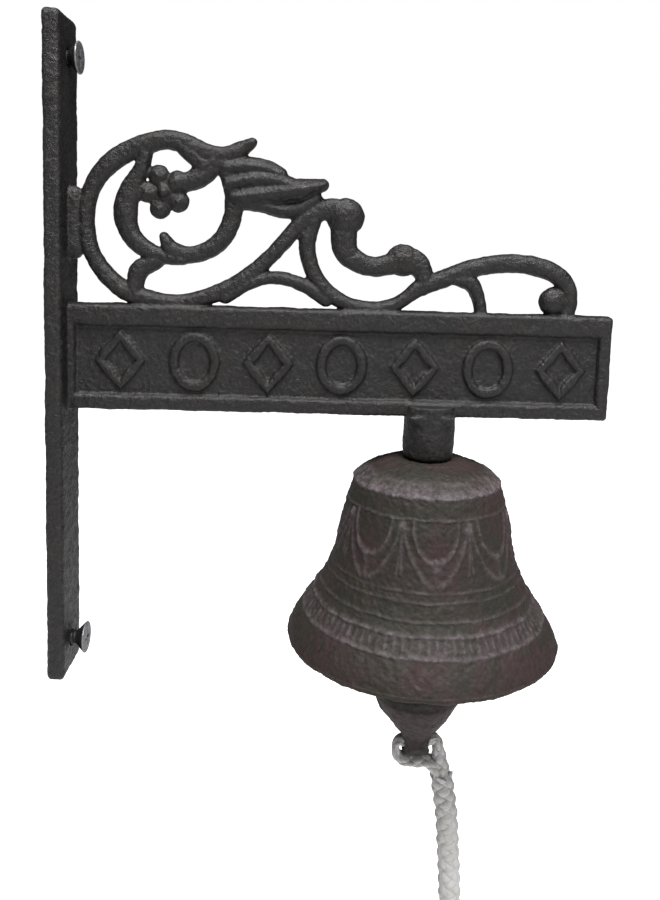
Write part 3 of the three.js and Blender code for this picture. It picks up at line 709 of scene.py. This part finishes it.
def tuft(top):
    """Loose yarns fanning out under the knot."""
    chance = np.random.default_rng(TUFT_SEED)
    shapes = []
    for _ in range(TUFT_YARNS):
        lean = chance.uniform(0, 2 * math.pi)
        spread = chance.uniform(*TUFT_SPREAD)
        length = chance.uniform(*TUFT_LENGTH)
        out = np.array([math.cos(lean), math.sin(lean), 0])
        start = top + TUFT_ROOT * spread * out
        s = np.linspace(0, 1, TUFT_SAMPLES)[:, None]
        wave = TUFT_WAVE * np.sin(5 * s + lean)
        line = start + out * (spread * length * TUFT_FAN * s**1.5 + wave)
        line = line - s * length * np.array([0, 0, 1])
        _, across, deep = frames_of(line)
        around = 2 * math.pi * np.arange(TUFT_SIDES) / TUFT_SIDES
        radius = TUFT_YARN_RADIUS - TUFT_YARN_THINS * s[:, 0]
        rings = [p + r * (np.outer(np.cos(around), a) + np.outer(np.sin(around), b))
                 for p, r, a, b in zip(line, radius, across, deep)]
        shapes.append((*skin(rings), np.zeros(TUFT_SAMPLES * TUFT_SIDES)))
    return shapes


def make_rope():
    rope, line = pull_rope()
    eye = rope_eye()
    knot = rope_knot()
    settle(rope, "rope", ["pull_rope"], COTTON)
    settle(eye, "rope", ["rope_eye"], COTTON)
    settle(knot, "rope", ["rope_end_knot"], COTTON)


make_rope()

# ---- bracket

GREAT_SCROLL = [
    [66.6, 54.9, 3.4], [62.8, 52.6, 5.6], [57.6, 50.6, 6.0], [51.5, 51.2, 6.2],
    [45.2, 53.6, 6.6], [38, 54.9, 6.6], [26.2, 51.2, 6.9], [18.4, 45.8, 6.6],
    [13.2, 37.8, 5.9], [11.6, 28, 5.4], [13.4, 17, 5.6], [18.4, 9.3, 6],
    [24.4, 4.6, 6.2], [31.5, 2, 6.4], [39.5, 0.8, 5.6], [47.8, 1.9, 5.6],
    [56, 4.6, 6], [63.6, 8.7, 6.2], [70.6, 14.4, 5.4], [76.6, 20.8, 5.2],
    [82.2, 27.4, 5.6], [87.8, 32, 6.6], [93.8, 33.8, 7.6], [98.4, 32, 8.6],
]
INNER_SCROLL = [
    [57.6, 47.5, 6.4], [60.2, 40.5, 6.4], [60.8, 33.6, 6.6], [59.4, 27, 6.3],
    [55.6, 21.2, 6.1], [50, 17.8, 6], [44.4, 17.1, 6], [39.8, 19, 5.6], [37.6, 23, 3],
]
INNER_CRESCENT = [
    [31, 50.4, 5], [29.9, 45.3, 5.4], [26.7, 39, 7.2], [24.8, 32.6, 8.1],
    [25, 27, 7.4], [27.2, 22.2, 6.6], [31.4, 18.6, 6], [37, 16.4, 5], [44, 15.6, 4.2],
]
LOWER_VOLUTE = [
    [87.6, 29.5, 5.4], [85.7, 23, 6], [86.3, 17, 5.6], [88.6, 11, 5.4], [92.6, 6.2, 5.4],
    [98, 2.8, 5.2], [104.5, 0.8, 5], [110, 0.5, 5], [115.6, 1.9, 5], [120.2, 4.8, 5],
    [124.2, 7.9, 5.8], [130.6, 10.6, 6.2], [137.4, 13.4, 6.2], [145.2, 16, 6.2],
    [155, 17.2, 6.6], [163.2, 16.5, 6.6], [170.1, 14.3, 6.4], [174.5, 10.2, 5.9],
    [175.9, 4.8, 5.5], [175, -1, 5.2],
]
TENDRIL = [
    [98, 27.5, 9.4], [98.9, 20, 8.4], [103.6, 16, 7.2], [108.6, 14.8, 6.8],
    [113.4, 15.6, 7.2], [118.6, 17.1, 9.6], [123.3, 15.9, 8.4], [125.7, 12, 6.2], [125.4, 7.5, 4.6],
]
BRACES = [
    [[58.5, 3.4, 5], [66.4, 7.9, 4.2], [74, 10.2, 4.5], [80.6, 9.4, 4.7], [86.6, 7, 5],
     [92.4, 3.2, 5]],
    [[136.4, 11.5, 4.6], [142, 9.8, 5.4], [144.6, 5, 4.7], [145.8, -1, 4.6]],
    [[35, 14.8, 5.6], [29.4, 11.4, 6.8], [27.6, 4.5, 5.4]],
    [[43.5, 52.4, 4.4], [48.6, 48.6, 5.6], [51.5, 44.5, 5]],
    [[41.5, 40.6, 6], [47, 42, 7], [51.5, 45.4, 8], [55.4, 49.4, 6.4]],
]
# The leaf's lobes, as stops and a depth.
LEAF_LOBES = [
    ([[59, 46.6, 6], [66, 47, 6.8], [72, 46.4, 6.2], [76.4, 44.8, 4.8]], 7.6),
    ([[60, 41.4, 6.6], [67, 42.8, 7.8], [74, 42.8, 7.4], [80.2, 41.4, 5.2]], 8.6),
    ([[62, 37, 6.4], [71, 38, 8.2], [79, 39.4, 8.4], [85.6, 40.2, 7], [90.4, 41.6, 4.6]], 9.4),
    ([[61.6, 35.4, 5], [70, 34.4, 5], [77.6, 32.8, 5.6], [83, 33.6, 6], [88, 36.8, 5.4]], 6.4),
]
BEADS = [[98.4, 31.2, 6.5, 8.4], [118.2, 17.3, 5.6, 7.2], [170.3, 4.6, 4.9, 7.4]]
FLOWER_X = 37.6
FLOWER_Z = 37.8
PETAL_ORBIT = 5.8
PETAL_RADIUS = 3.6
PETAL_TURN = 0.68


def wall_plate():
    """The long back plate with its two screw holes."""
    low = (0, -PLATE_HALF_WIDTH, BRACKET_LOW[2])
    high = (PLATE_THICKNESS, PLATE_HALF_WIDTH, BRACKET_HIGH[2])
    plate = joined("wall_plate", [rounded_box(low, high, (1.5, 1.9, 2.0), 24)])
    holes = []
    for screw in ("wall_screw_upper", "wall_screw_lower"):
        z = sum(corner[2] for corner in node_box(screw)) / 2
        points, faces = turned([(2.8, -12), (2.8, 12)], 32)
        holes.append(mesh_piece("hole", points[:, [2, 0, 1]] + np.array([0, 0, z]), faces))
    return cut(plate, *holes)


def sign_arm():
    """A shallow tray: four rims round a thinner web, the same on both faces."""
    reach = BRACKET_HIGH[0]
    half = ARM_THICKNESS / 2
    root = PLATE_THICKNESS / 2
    bars = [
        ((root, -TOP_RIM), (reach, 0)),
        ((root, -ARM_HEIGHT), (reach, -ARM_HEIGHT + BOTTOM_RIM)),
        ((reach - END_RIM, -ARM_HEIGHT), (reach, 0)),
        ((root, -ARM_HEIGHT), (PLATE_THICKNESS + ROOT_RIM, 0)),
    ]
    shapes = [rounded_box((x0, -half, z0), (x1, half, z1), (1.2, 1.7, 1.5)) for
              (x0, z0), (x1, z1) in bars]
    shapes.append(rounded_box((root, -WEB_THICKNESS / 2, 1 - ARM_HEIGHT),
                              (reach - 1, WEB_THICKNESS / 2, -1), (0.5, 0.5, 0.5)))
    return shapes + sign_motifs(reach)


def sign_motifs(reach):
    """Plain raised lozenges and rings, one after the other."""
    left = PLATE_THICKNESS + 2 * ROOT_RIM
    pitch = (reach - END_RIM - left) / MOTIF_COUNT
    middle = (-TOP_RIM - ARM_HEIGHT + BOTTOM_RIM) / 2
    shapes = []
    for i in range(MOTIF_COUNT):
        corners = 48 if i % 2 else 4
        turn = 2 * math.pi * np.arange(96) / 96
        lean = (turn * corners / (2 * math.pi)) % 1
        flat = (math.cos(math.pi / corners)
                / np.cos(math.pi / corners * (2 * lean - 1)))
        rings = []
        for angle, reach_in in zip(turn, flat):
            across, deep = superellipse(1.9, WEB_THICKNESS / 2 + 1.45, 3.6, 16)
            x = left + pitch * (i + 0.5) + (6.9 * reach_in + across) * math.cos(angle)
            z = middle + (8.5 * reach_in + across) * math.sin(angle)
            rings.append(np.stack([x, deep, z], axis=1))
        shapes.append(skin(rings, closed=True))
    return shapes


def flower():
    shapes = [ball((FLOWER_X, 0, FLOWER_Z), (2.4, 3.9, 2.4))]
    for i in range(5):
        turn = PETAL_TURN + 2 * math.pi * i / 5
        x = FLOWER_X + PETAL_ORBIT * math.cos(turn)
        z = FLOWER_Z + PETAL_ORBIT * math.sin(turn)
        shapes.append(ball((x, 0, z), (PETAL_RADIUS, 2.6, PETAL_RADIUS)))
        shapes.append(ball((x, 0, z), (1.1, 3.3, 1.1)))
        neck_x = FLOWER_X + 3 * math.cos(turn)
        neck_z = FLOWER_Z + 3 * math.sin(turn)
        shapes.append(ball((neck_x, 0, neck_z), (2.6, 2.1, 2.6)))
    return shapes


def boss():
    """The boss with its blind bore, and the gusset that leads it into the arm."""
    bore_end = BOSS_BOTTOM + BOSS_BORE_DEPTH
    profile = [
        (BOSS_BORE_RADIUS, bore_end), (BOSS_BORE_RADIUS, BOSS_BOTTOM),
        (BOSS_RADIUS - 1.6, BOSS_BOTTOM), (BOSS_RADIUS - 0.7, BOSS_BOTTOM + 0.4),
        (BOSS_RADIUS - 0.2, BOSS_BOTTOM + 1.4), (BOSS_RADIUS, BOSS_BOTTOM + 4),
        (BOSS_RADIUS, 4 - ARM_HEIGHT),
    ]
    gusset = [[(BELL_X - 8, y, 1 - ARM_HEIGHT), (BELL_X - 1, y, -ARM_HEIGHT - 4.6),
               (BELL_X + 1, y, -ARM_HEIGHT - 4.6), (BELL_X + 8, y, 1 - ARM_HEIGHT)]
              for y in (-8.7, 8.7)]
    return [turned(profile, 64, (BELL_X, 0)), skin(gusset)]


def bracket_casting():
    shapes = [*sign_arm(), *boss(), *flower()]
    shapes += [stroke(line) for line in
               (GREAT_SCROLL, INNER_SCROLL, INNER_CRESCENT, LOWER_VOLUTE, TENDRIL, *BRACES)]
    shapes += [stroke(lobe, depth, 1.6) for lobe, depth in LEAF_LOBES]
    shapes += [ball((x, 0, z), (r, depth / 2, r)) for x, z, r, depth in BEADS]
    shapes.append(rounded_box((PLATE_THICKNESS / 2, -SCROLL_DEPTH / 2, 14.5),
                              (10.6, SCROLL_DEPTH / 2, 39.2), (2.8, 2.6, 4)))
    casting = joined("bracket_cast", shapes)
    plate = wall_plate()
    work = bmesh.new()
    work.from_mesh(casting.data)
    work.from_mesh(plate.data)
    work.to_mesh(casting.data)
    work.free()
    bpy.data.objects.remove(plate)
    cast_skin(casting, 0.42, 2, [(9, 0.28), (3, 0.17), (1.4, 0.13)], 3.1)
    return settle(casting, "body", ["bracket_casting"], BLACK_IRON)


bracket_casting()

# ---- bell

# The outer skin, as [share of the height, share of the lip's radius].
BELL_OUTLINE = [
    [0, 0.24], [0.025, 0.355], [0.054, 0.445], [0.089, 0.51], [0.142, 0.545], [0.237, 0.583],
    [0.348, 0.615], [0.475, 0.648], [0.585, 0.699], [0.68, 0.758], [0.759, 0.825],
    [0.839, 0.901], [0.91, 0.964], [0.965, 0.995],
]
BELL_PROFILE = [[share * BELL_HEIGHT, out * LIP_RADIUS] for share, out in BELL_OUTLINE]
# Ridges round the bell: drop from the top, half width, height, and how broken the line is.
BELL_RIDGES = [
    [3.3, 0.6, 0.35, 0.15], [6.9, 0.75, 0.7, 0.1], [13.6, 0.4, 0.4, 0.3],
    [35.6, 0.35, 0.42, 0.8], [38.3, 0.35, 0.4, 0.6],
    [43.5, 0.45, 0.42, 0.35], [47.2, 0.6, 0.6, 0.1], [52.5, 0.6, 0.6, 0.1],
]
SWAG_COUNT = 8
SWAG_TOP = 14
TICK_COUNT = 92
BELL_SIDES = 560


def swell(distance, half_width):
    """A smooth ridge across a line, 1 on the line and fading to nothing beside it."""
    return np.exp(-(distance / half_width) ** 2)


def bell_relief(turn, drop, radius):
    """How far the cast decoration stands out of the skin, by angle and by drop."""
    relief = np.zeros_like(turn)
    for i, (level, half_width, height, broken) in enumerate(BELL_RIDGES):
        wander = 0.12 * np.sin(9 * turn + i) + 0.08 * np.sin(23 * turn + 2 * i)
        gaps = 1 - broken * (0.5 + 0.5 * np.sin(13 * turn + 5 * i) * np.sin(5 * turn + i))
        relief += height * gaps * swell(drop - level - wander, half_width)
    sector = 2 * math.pi / SWAG_COUNT
    local = (turn + math.pi / 2 + sector / 2) % sector - sector / 2
    x = np.abs(local) * radius
    drop = drop - SWAG_TOP
    swags = 0.55 * oval_ridge(x, drop, 7.4, 12.4, 2.3, 0.55)
    swags += 0.4 * oval_ridge(x, drop - 0.8, 10.4, 19.5, 1.7, 0.6)
    swags += 0.35 * swell(x - 11.3, 0.5) * (drop < 17)
    swags += 0.5 * swell(np.hypot(x - 11.0, drop - 2.2), 1.6)
    swags += 0.45 * swell(np.hypot(x, (drop - 14.4) / 1.4), 1.3)
    swags += 0.3 * swell(np.hypot(x, (drop - 18.4) / 1.6), 0.8)
    inside = 1 / (1 + np.exp(-(drop + 0.2) * 3)) / (1 + np.exp((drop - 20.6) * 2))
    drop = drop + SWAG_TOP
    ticks = 0.32 * np.clip(np.cos(TICK_COUNT * turn), 0, 1) ** 0.7
    band = 1 / (1 + np.exp(-(drop - 48.1) * 5)) / (1 + np.exp((drop - 51.6) * 5))
    return relief + swags * inside + ticks * band


def oval_ridge(x, y, half_width, depth, power, line_width):
    """A ridge along a hanging U, from its level top at y = 0 down to its depth."""
    reach = (np.abs(x / half_width) ** power + (np.clip(y, 0, None) / depth) ** power)
    return swell((reach ** (1 / power) - 1) * half_width, line_width) * (y > -0.2)


def bell():
    """The bell's outer skin with its decoration, the rounded lip, the inside and the crown."""
    outer = smooth_line(BELL_PROFILE, 20)
    outer[:, 1] = np.minimum(outer[:, 1], LIP_RADIUS)
    lip = [[BELL_HEIGHT - 2.2 + 2.2 * math.sin(a), LIP_RADIUS - 2.0 + 2.0 * math.cos(a)]
           for a in np.radians([0, 20, 40, 60, 80, 90, 110, 135, 160])]
    inner = smooth_line([[d, r - BELL_WALL] for d, r in BELL_PROFILE[4:-1]][::-1], 7)
    crown = [[CROWN_THICKNESS + 1.2, 18.6], [CROWN_THICKNESS, 15.5], [CROWN_THICKNESS, 9],
             [CROWN_THICKNESS, 2.8], [CROWN_THICKNESS / 2, 2.8], [0, 2.8], [0, 6], [0, 10]]
    profile = np.vstack([outer[:, :2], lip, inner[:, :2], crown])
    outside = np.zeros(len(profile), bool)
    outside[:len(outer)] = True
    turn = 2 * math.pi * np.arange(BELL_SIDES) / BELL_SIDES
    turns, drops = np.meshgrid(turn, profile[:, 0])
    radii = np.meshgrid(turn, profile[:, 1])[1]
    relief = bell_relief(turns, drops, np.maximum(radii, 1)) * outside[:, None]
    relief *= np.clip(drops / 4, 0, 1)
    stands = radii + np.where(radii > LIP_RADIUS - 0.6, 0, relief)
    points = np.stack([BELL_X + stands * np.cos(turns), stands * np.sin(turns),
                       BELL_TOP - drops], axis=2)
    piece = mesh_piece("bell_cast", *skin(points, closed=True))
    # Paler colour: wear on the raised relief, which is also a painted highlight on the ridges; a
    # painted highlight on the band round the shoulder; and a paler band low on the bell.
    shoulder_highlight = swell(drops - 5.6, 1.8) * 0.75
    low_bands = 0.22 * swell(drops - 49.8, 3.5)
    wear_and_highlight = np.clip(relief * 1.1 + shoulder_highlight * outside[:, None] + low_bands, 0, 1)
    layer = piece.data.attributes.new("wear_and_highlight", "FLOAT", "POINT")
    layer.data.foreach_set("value", (wear_and_highlight * outside[:, None]).ravel())
    roughen(piece, [(7, 0.3), (2.2, 0.22), (1.1, 0.16)], 11.7)
    return settle(piece, "body", ["bell"], BROWN_IRON)


bell()

# ---- hanger, link and clapper

WASHER_BORE = 2.8
THREAD_DEPTH = 0.35
SHANK_RADIUS = 2.5
SHANK_PITCH = 0.8
COLLAR_HEIGHT = 1.8
BOLT_EYE_RADIUS = 4.1
BOLT_EYE_WIRE = 1.4
LINK_END_RADIUS = 4.1
LINK_WIRE = 1.25
CLAPPER_EYE_RADIUS = 4.2
CLAPPER_EYE_WIRE = 1.5
NECK_RADIUS = 3
TAIL_FLARE = 0.7
TAIL_FLARE_DROP = 2.5
CLAPPER_WEAR = 0.12
STEEL_GRAIN = 0.16
LINK_GRAIN = 0.14
CAST_GRAIN = 0.34


def washer():
    inner, outer = WASHER_BORE, (WASHER_HIGH[0] - WASHER_LOW[0]) / 2
    low, high = WASHER_LOW[2], WASHER_HIGH[2]
    profile = [(inner, low), (outer - 0.3, low), (outer, low + 0.3), (outer, high - 0.3),
               (outer - 0.3, high), (inner, high)]
    piece = joined("hanger_washer_steel", [turned(profile, 72, (BELL_X, 0), closed=True)])
    return settle(piece, "body", ["hanger_washer"], ZINC)


def threaded(radius, start, end, pitch, sides=40):
    """Rings of a screw thread about the Z axis, from one height to the other."""
    turn = 2 * math.pi * np.arange(sides) / sides
    rings = []
    for z in np.arange(start, end, pitch / 8):
        groove = 0.5 + 0.5 * np.cos(2 * math.pi * z / pitch - turn)
        reach = radius - THREAD_DEPTH * groove
        rings.append(np.stack([reach * np.cos(turn), reach * np.sin(turn),
                               np.full(sides, z)], axis=1))
    return rings


def eye_bolt():
    """Threaded shank, round collar and the eye that the link hangs in."""
    eye_radius, wire = BOLT_EYE_RADIUS, BOLT_EYE_WIRE
    eye_z = BOLT_LOW[2] + eye_radius + wire
    collar_low = eye_z + eye_radius
    collar_high = collar_low + COLLAR_HEIGHT
    shank, faces = skin(threaded(SHANK_RADIUS, collar_low - 0.8, BOLT_HIGH[2], SHANK_PITCH))
    shank = shank + np.array([BELL_X, 0, 0])
    collar = turned([(3.8, collar_low - 0.3), (4.5, collar_low + 0.2), (4.6, collar_high - 0.3),
                     (4.3, collar_high)], 48, (BELL_X, 0))
    eye = loop_of_wire(oval_line((BELL_X, 0, eye_z), eye_radius, 0, (1, 0, 0), (0, 0, 1)), wire)
    piece = joined("hanger_eye_bolt_steel", [(shank, faces), collar, eye])
    applied(piece, "REMESH", mode="VOXEL", voxel_size=STEEL_GRAIN * MM, use_smooth_shade=True)
    applied(piece, "SMOOTH", factor=0.5, iterations=2)
    return settle(piece, "body", ["hanger_eye_bolt"], ZINC)


def clapper_link():
    wire, end_radius = LINK_WIRE, LINK_END_RADIUS
    middle = (LINK_LOW + LINK_HIGH) / 2
    straight = LINK_HIGH[2] - LINK_LOW[2] - 2 * (wire + end_radius)
    line = oval_line(middle, end_radius, straight, (0, 0, 1), (0, 1, 0))
    weld = ball((middle[0], middle[1] + end_radius, middle[2] - 0.4), (1.42, 1.42, 1.0))
    piece = joined("clapper_link_wire", [loop_of_wire(line, wire), weld])
    applied(piece, "REMESH", mode="VOXEL", voxel_size=LINK_GRAIN * MM, use_smooth_shade=True)
    applied(piece, "SMOOTH", factor=0.5, iterations=3)
    return settle(piece, "link", ["clapper_link"], ZINC)


def barrel_tail(piece):
    """Rounds the tail's end about the hole's line, so that the rope's eye can swing round it."""
    points = np.empty(len(piece.data.vertices) * 3)
    piece.data.vertices.foreach_get("co", points)
    points = points.reshape(-1, 3)
    drop = np.clip(TAIL_HOLE_Z - points[:, 2] / MM, 0, None)
    reach = np.hypot(points[:, 1] / MM, drop)
    limit = TAIL_END_RADIUS + TAIL_FLARE * np.clip(1 - drop / TAIL_FLARE_DROP, 0, 1)
    pull = np.where((drop > 0) & (reach > limit), limit / np.maximum(reach, 1), 1)
    points[:, 1] *= pull
    points[:, 2] = np.where(drop > 0, (TAIL_HOLE_Z - drop * pull) * MM, points[:, 2])
    piece.data.vertices.foreach_set("co", points.ravel())
    piece.data.update()


def clapper():
    """Cast eye, neck, ball and tail; the rope's hole is drilled across the tail."""
    eye_radius, wire = CLAPPER_EYE_RADIUS, CLAPPER_EYE_WIRE
    eye_z = CLAPPER_HIGH[2] - eye_radius - wire
    neck_top = eye_z - eye_radius
    ball_top = BALL_Z + BALL_RADIUS
    profile = [(0.5, neck_top + 0.6), (NECK_RADIUS, neck_top), (NECK_RADIUS, ball_top + 7),
               (4.4, ball_top + 2)]
    profile += [(BALL_RADIUS * math.cos(a), BALL_Z + BALL_RADIUS * math.sin(a))
                for a in (1.15, 0.9, 0.6, 0.3, 0.1, -0.1)]
    profile += [(BALL_RADIUS * out, BALL_Z + BALL_RADIUS * up) for out, up in
                ((0.95, -0.2), (0.87, -0.36), (0.76, -0.56), (0.6, -0.8), (0.49, -0.95))]
    profile += [(TAIL_RADIUS + 0.9, BALL_Z - BALL_RADIUS - 0.4),
                (TAIL_RADIUS + 0.5, BALL_Z - BALL_RADIUS - 1.4),
                (TAIL_RADIUS + 0.2, TAIL_HOLE_Z + 1), (TAIL_RADIUS, TAIL_HOLE_Z - 2)]
    profile += [(TAIL_RADIUS - 0.4, TAIL_HOLE_Z - 3.9), (TAIL_RADIUS - 1.1, TAIL_HOLE_Z - 4.6),
                (TAIL_RADIUS - 2.4, TAIL_HOLE_Z - 4.9)]
    body = turned(profile, 72, (BELL_X, 0))
    eye = loop_of_wire(oval_line((BELL_X, 0, eye_z), eye_radius, 0, (1, 0, 0), (0, 0, 1)), wire)
    seam = loop_of_wire(oval_line((BELL_X, 0, BALL_Z), BALL_RADIUS - 0.25, 0,
                                  (1, 0, 0), (0, 0, 1), 144), 0.5)
    piece = joined("clapper_cast", [body, eye, seam])
    applied(piece, "REMESH", mode="VOXEL", voxel_size=CAST_GRAIN * MM, use_smooth_shade=True)
    points, faces = turned([(TAIL_HOLE_RADIUS, -14), (TAIL_HOLE_RADIUS, 14)], 48)
    hole = mesh_piece("hole", points[:, [2, 0, 1]] + np.array([BELL_X, 0, TAIL_HOLE_Z]), faces)
    cut(piece, hole)
    applied(piece, "REMESH", mode="VOXEL", voxel_size=CAST_GRAIN * MM, use_smooth_shade=True)
    applied(piece, "SMOOTH", factor=0.5, iterations=3)
    barrel_tail(piece)
    roughen(piece, [(6, 0.25), (2.2, 0.16), (1.1, 0.12)], 5.2)
    layer = piece.data.attributes.new("wear_and_highlight", "FLOAT", "POINT")
    layer.data.foreach_set("value", np.full(len(piece.data.vertices), CLAPPER_WEAR))
    return settle(piece, "clapper", ["clapper"], BROWN_IRON)


washer()
eye_bolt()
clapper_link()
clapper()

# ---- wall screws

SCREW_SHANK = 2.5
SCREW_PITCH = 1.9
SCREW_GRAIN = 0.17
RECESS_REACH = 2.9
RECESS_HALF = 0.55
RECESS_DEPTH = 1.7


def wall_screw(node):
    """A countersunk screw with a cross recess, standing out of the plate."""
    low, high = node_box(node)
    z = (low[2] + high[2]) / 2
    head = (high[1] - low[1]) / 2
    face = high[0]
    shank = SCREW_SHANK
    neck = face - 0.5 - (head - shank)
    shank_shape = skin(threaded(shank, low[0] + 1, neck - 0.6, SCREW_PITCH))
    head_shape = turned([
        (1.6, low[0]), (2.1, low[0] + 1), (2.1, neck - 0.8), (shank, neck),
        (shank + 1.2, neck + 1.1),
        (head - 0.1, face - 0.7), (head, face - 0.45), (head - 0.25, face - 0.1),
        (head - 1.2, face), (0.6, face),
    ], 64)
    piece = joined(node + "_steel", [shank_shape, head_shape])
    applied(piece, "REMESH", mode="VOXEL", voxel_size=SCREW_GRAIN * MM, use_smooth_shade=True)
    arms = []
    for half_y, half_x in ((RECESS_REACH, RECESS_HALF), (RECESS_HALF, RECESS_REACH)):
        arms.append(joined("arm", [rounded_box((-half_x, -half_y, face - RECESS_DEPTH),
                                               (half_x, half_y, face + 2), (0.2, 0.2, 0.2))]))
    cut(piece, *arms)
    points = np.empty(len(piece.data.vertices) * 3)
    piece.data.vertices.foreach_get("co", points)
    points = points.reshape(-1, 3)[:, [2, 0, 1]] + np.array([0, 0, z * MM])
    piece.data.vertices.foreach_set("co", points.ravel())
    piece.data.update()
    # 1 on the head's face and 0 on the cone and threads, which get the near black colour.
    bare = np.clip((points[:, 0] / MM - face + 0.9) * 4, 0, 1)
    layer = piece.data.attributes.new("wear_and_highlight", "FLOAT", "POINT")
    layer.data.foreach_set("value", bare)
    return settle(piece, "body", [node], DARK_STEEL)


wall_screw("wall_screw_upper")
wall_screw("wall_screw_lower")

# ---- studio

FLOOR_DROP = 0.06
KEY_PLACE = Vector((0.15, -0.62, 1.35))
KEY_SIZE = 0.7
KEY_POWER = 48
FILL_PLACE = Vector((0.9, -0.9, 0.4))
FILL_POWER = 3.5
WORLD_LIGHT = 0.07
FLOOR_SHADE = 0.8


def soft_light(name, place, size, power):
    data = bpy.data.lights.new(name, "AREA")
    data.shape = "SQUARE"
    data.size = size
    data.energy = power
    light = bpy.data.objects.new(name, data)
    light.location = place
    aim = Vector((0.1, 0, -0.05)) - place
    light.rotation_euler = aim.to_track_quat("-Z", "Y").to_euler()
    bpy.context.scene.collection.objects.link(light)


def pale_floor():
    z = cad_bounds[0][2] - FLOOR_DROP
    half = 6
    mesh = bpy.data.meshes.new("floor")
    mesh.from_pydata([(-half, -half, z), (half, -half, z), (half, half, z), (-half, half, z)],
                     [], [(0, 1, 2, 3)])
    floor = bpy.data.objects.new("floor", mesh)
    finish = Finish("pale_floor", 0.0, 0.9, 0.1)
    finish.shader.inputs["Emission Color"].default_value = (1, 1, 1, 1)
    seen = finish.nodes.new("ShaderNodeLightPath").outputs["Is Camera Ray"]
    finish.links.new(seen, finish.shader.inputs["Emission Strength"])
    mesh.materials.append(finish.use(finish.ramp(
        finish.noise(300, 2), [(0.3, FLOOR_SHADE), (0.7, FLOOR_SHADE + 0.02)])))
    bpy.context.scene.collection.objects.link(floor)


def white_surround():
    """White behind the object, and a dimmer white that lights it."""
    world = bpy.data.worlds.new("white_surround")
    world.use_nodes = True
    nodes = world.node_tree.nodes
    links = world.node_tree.links
    background = nodes["Background"]
    background.inputs["Color"].default_value = (1, 1, 1, 1)
    seen = nodes.new("ShaderNodeLightPath").outputs["Is Camera Ray"]
    strength = nodes.new("ShaderNodeMapRange")
    strength.inputs["To Min"].default_value = WORLD_LIGHT
    strength.inputs["To Max"].default_value = 1.0
    links.new(seen, strength.inputs["Value"])
    links.new(strength.outputs["Result"], background.inputs["Strength"])
    bpy.context.scene.world = world


white_surround()
pale_floor()
soft_light("key_light", KEY_PLACE, KEY_SIZE, KEY_POWER)
soft_light("fill_light", FILL_PLACE, KEY_SIZE, FILL_POWER)
bpy.context.scene.view_settings.view_transform = "Standard"
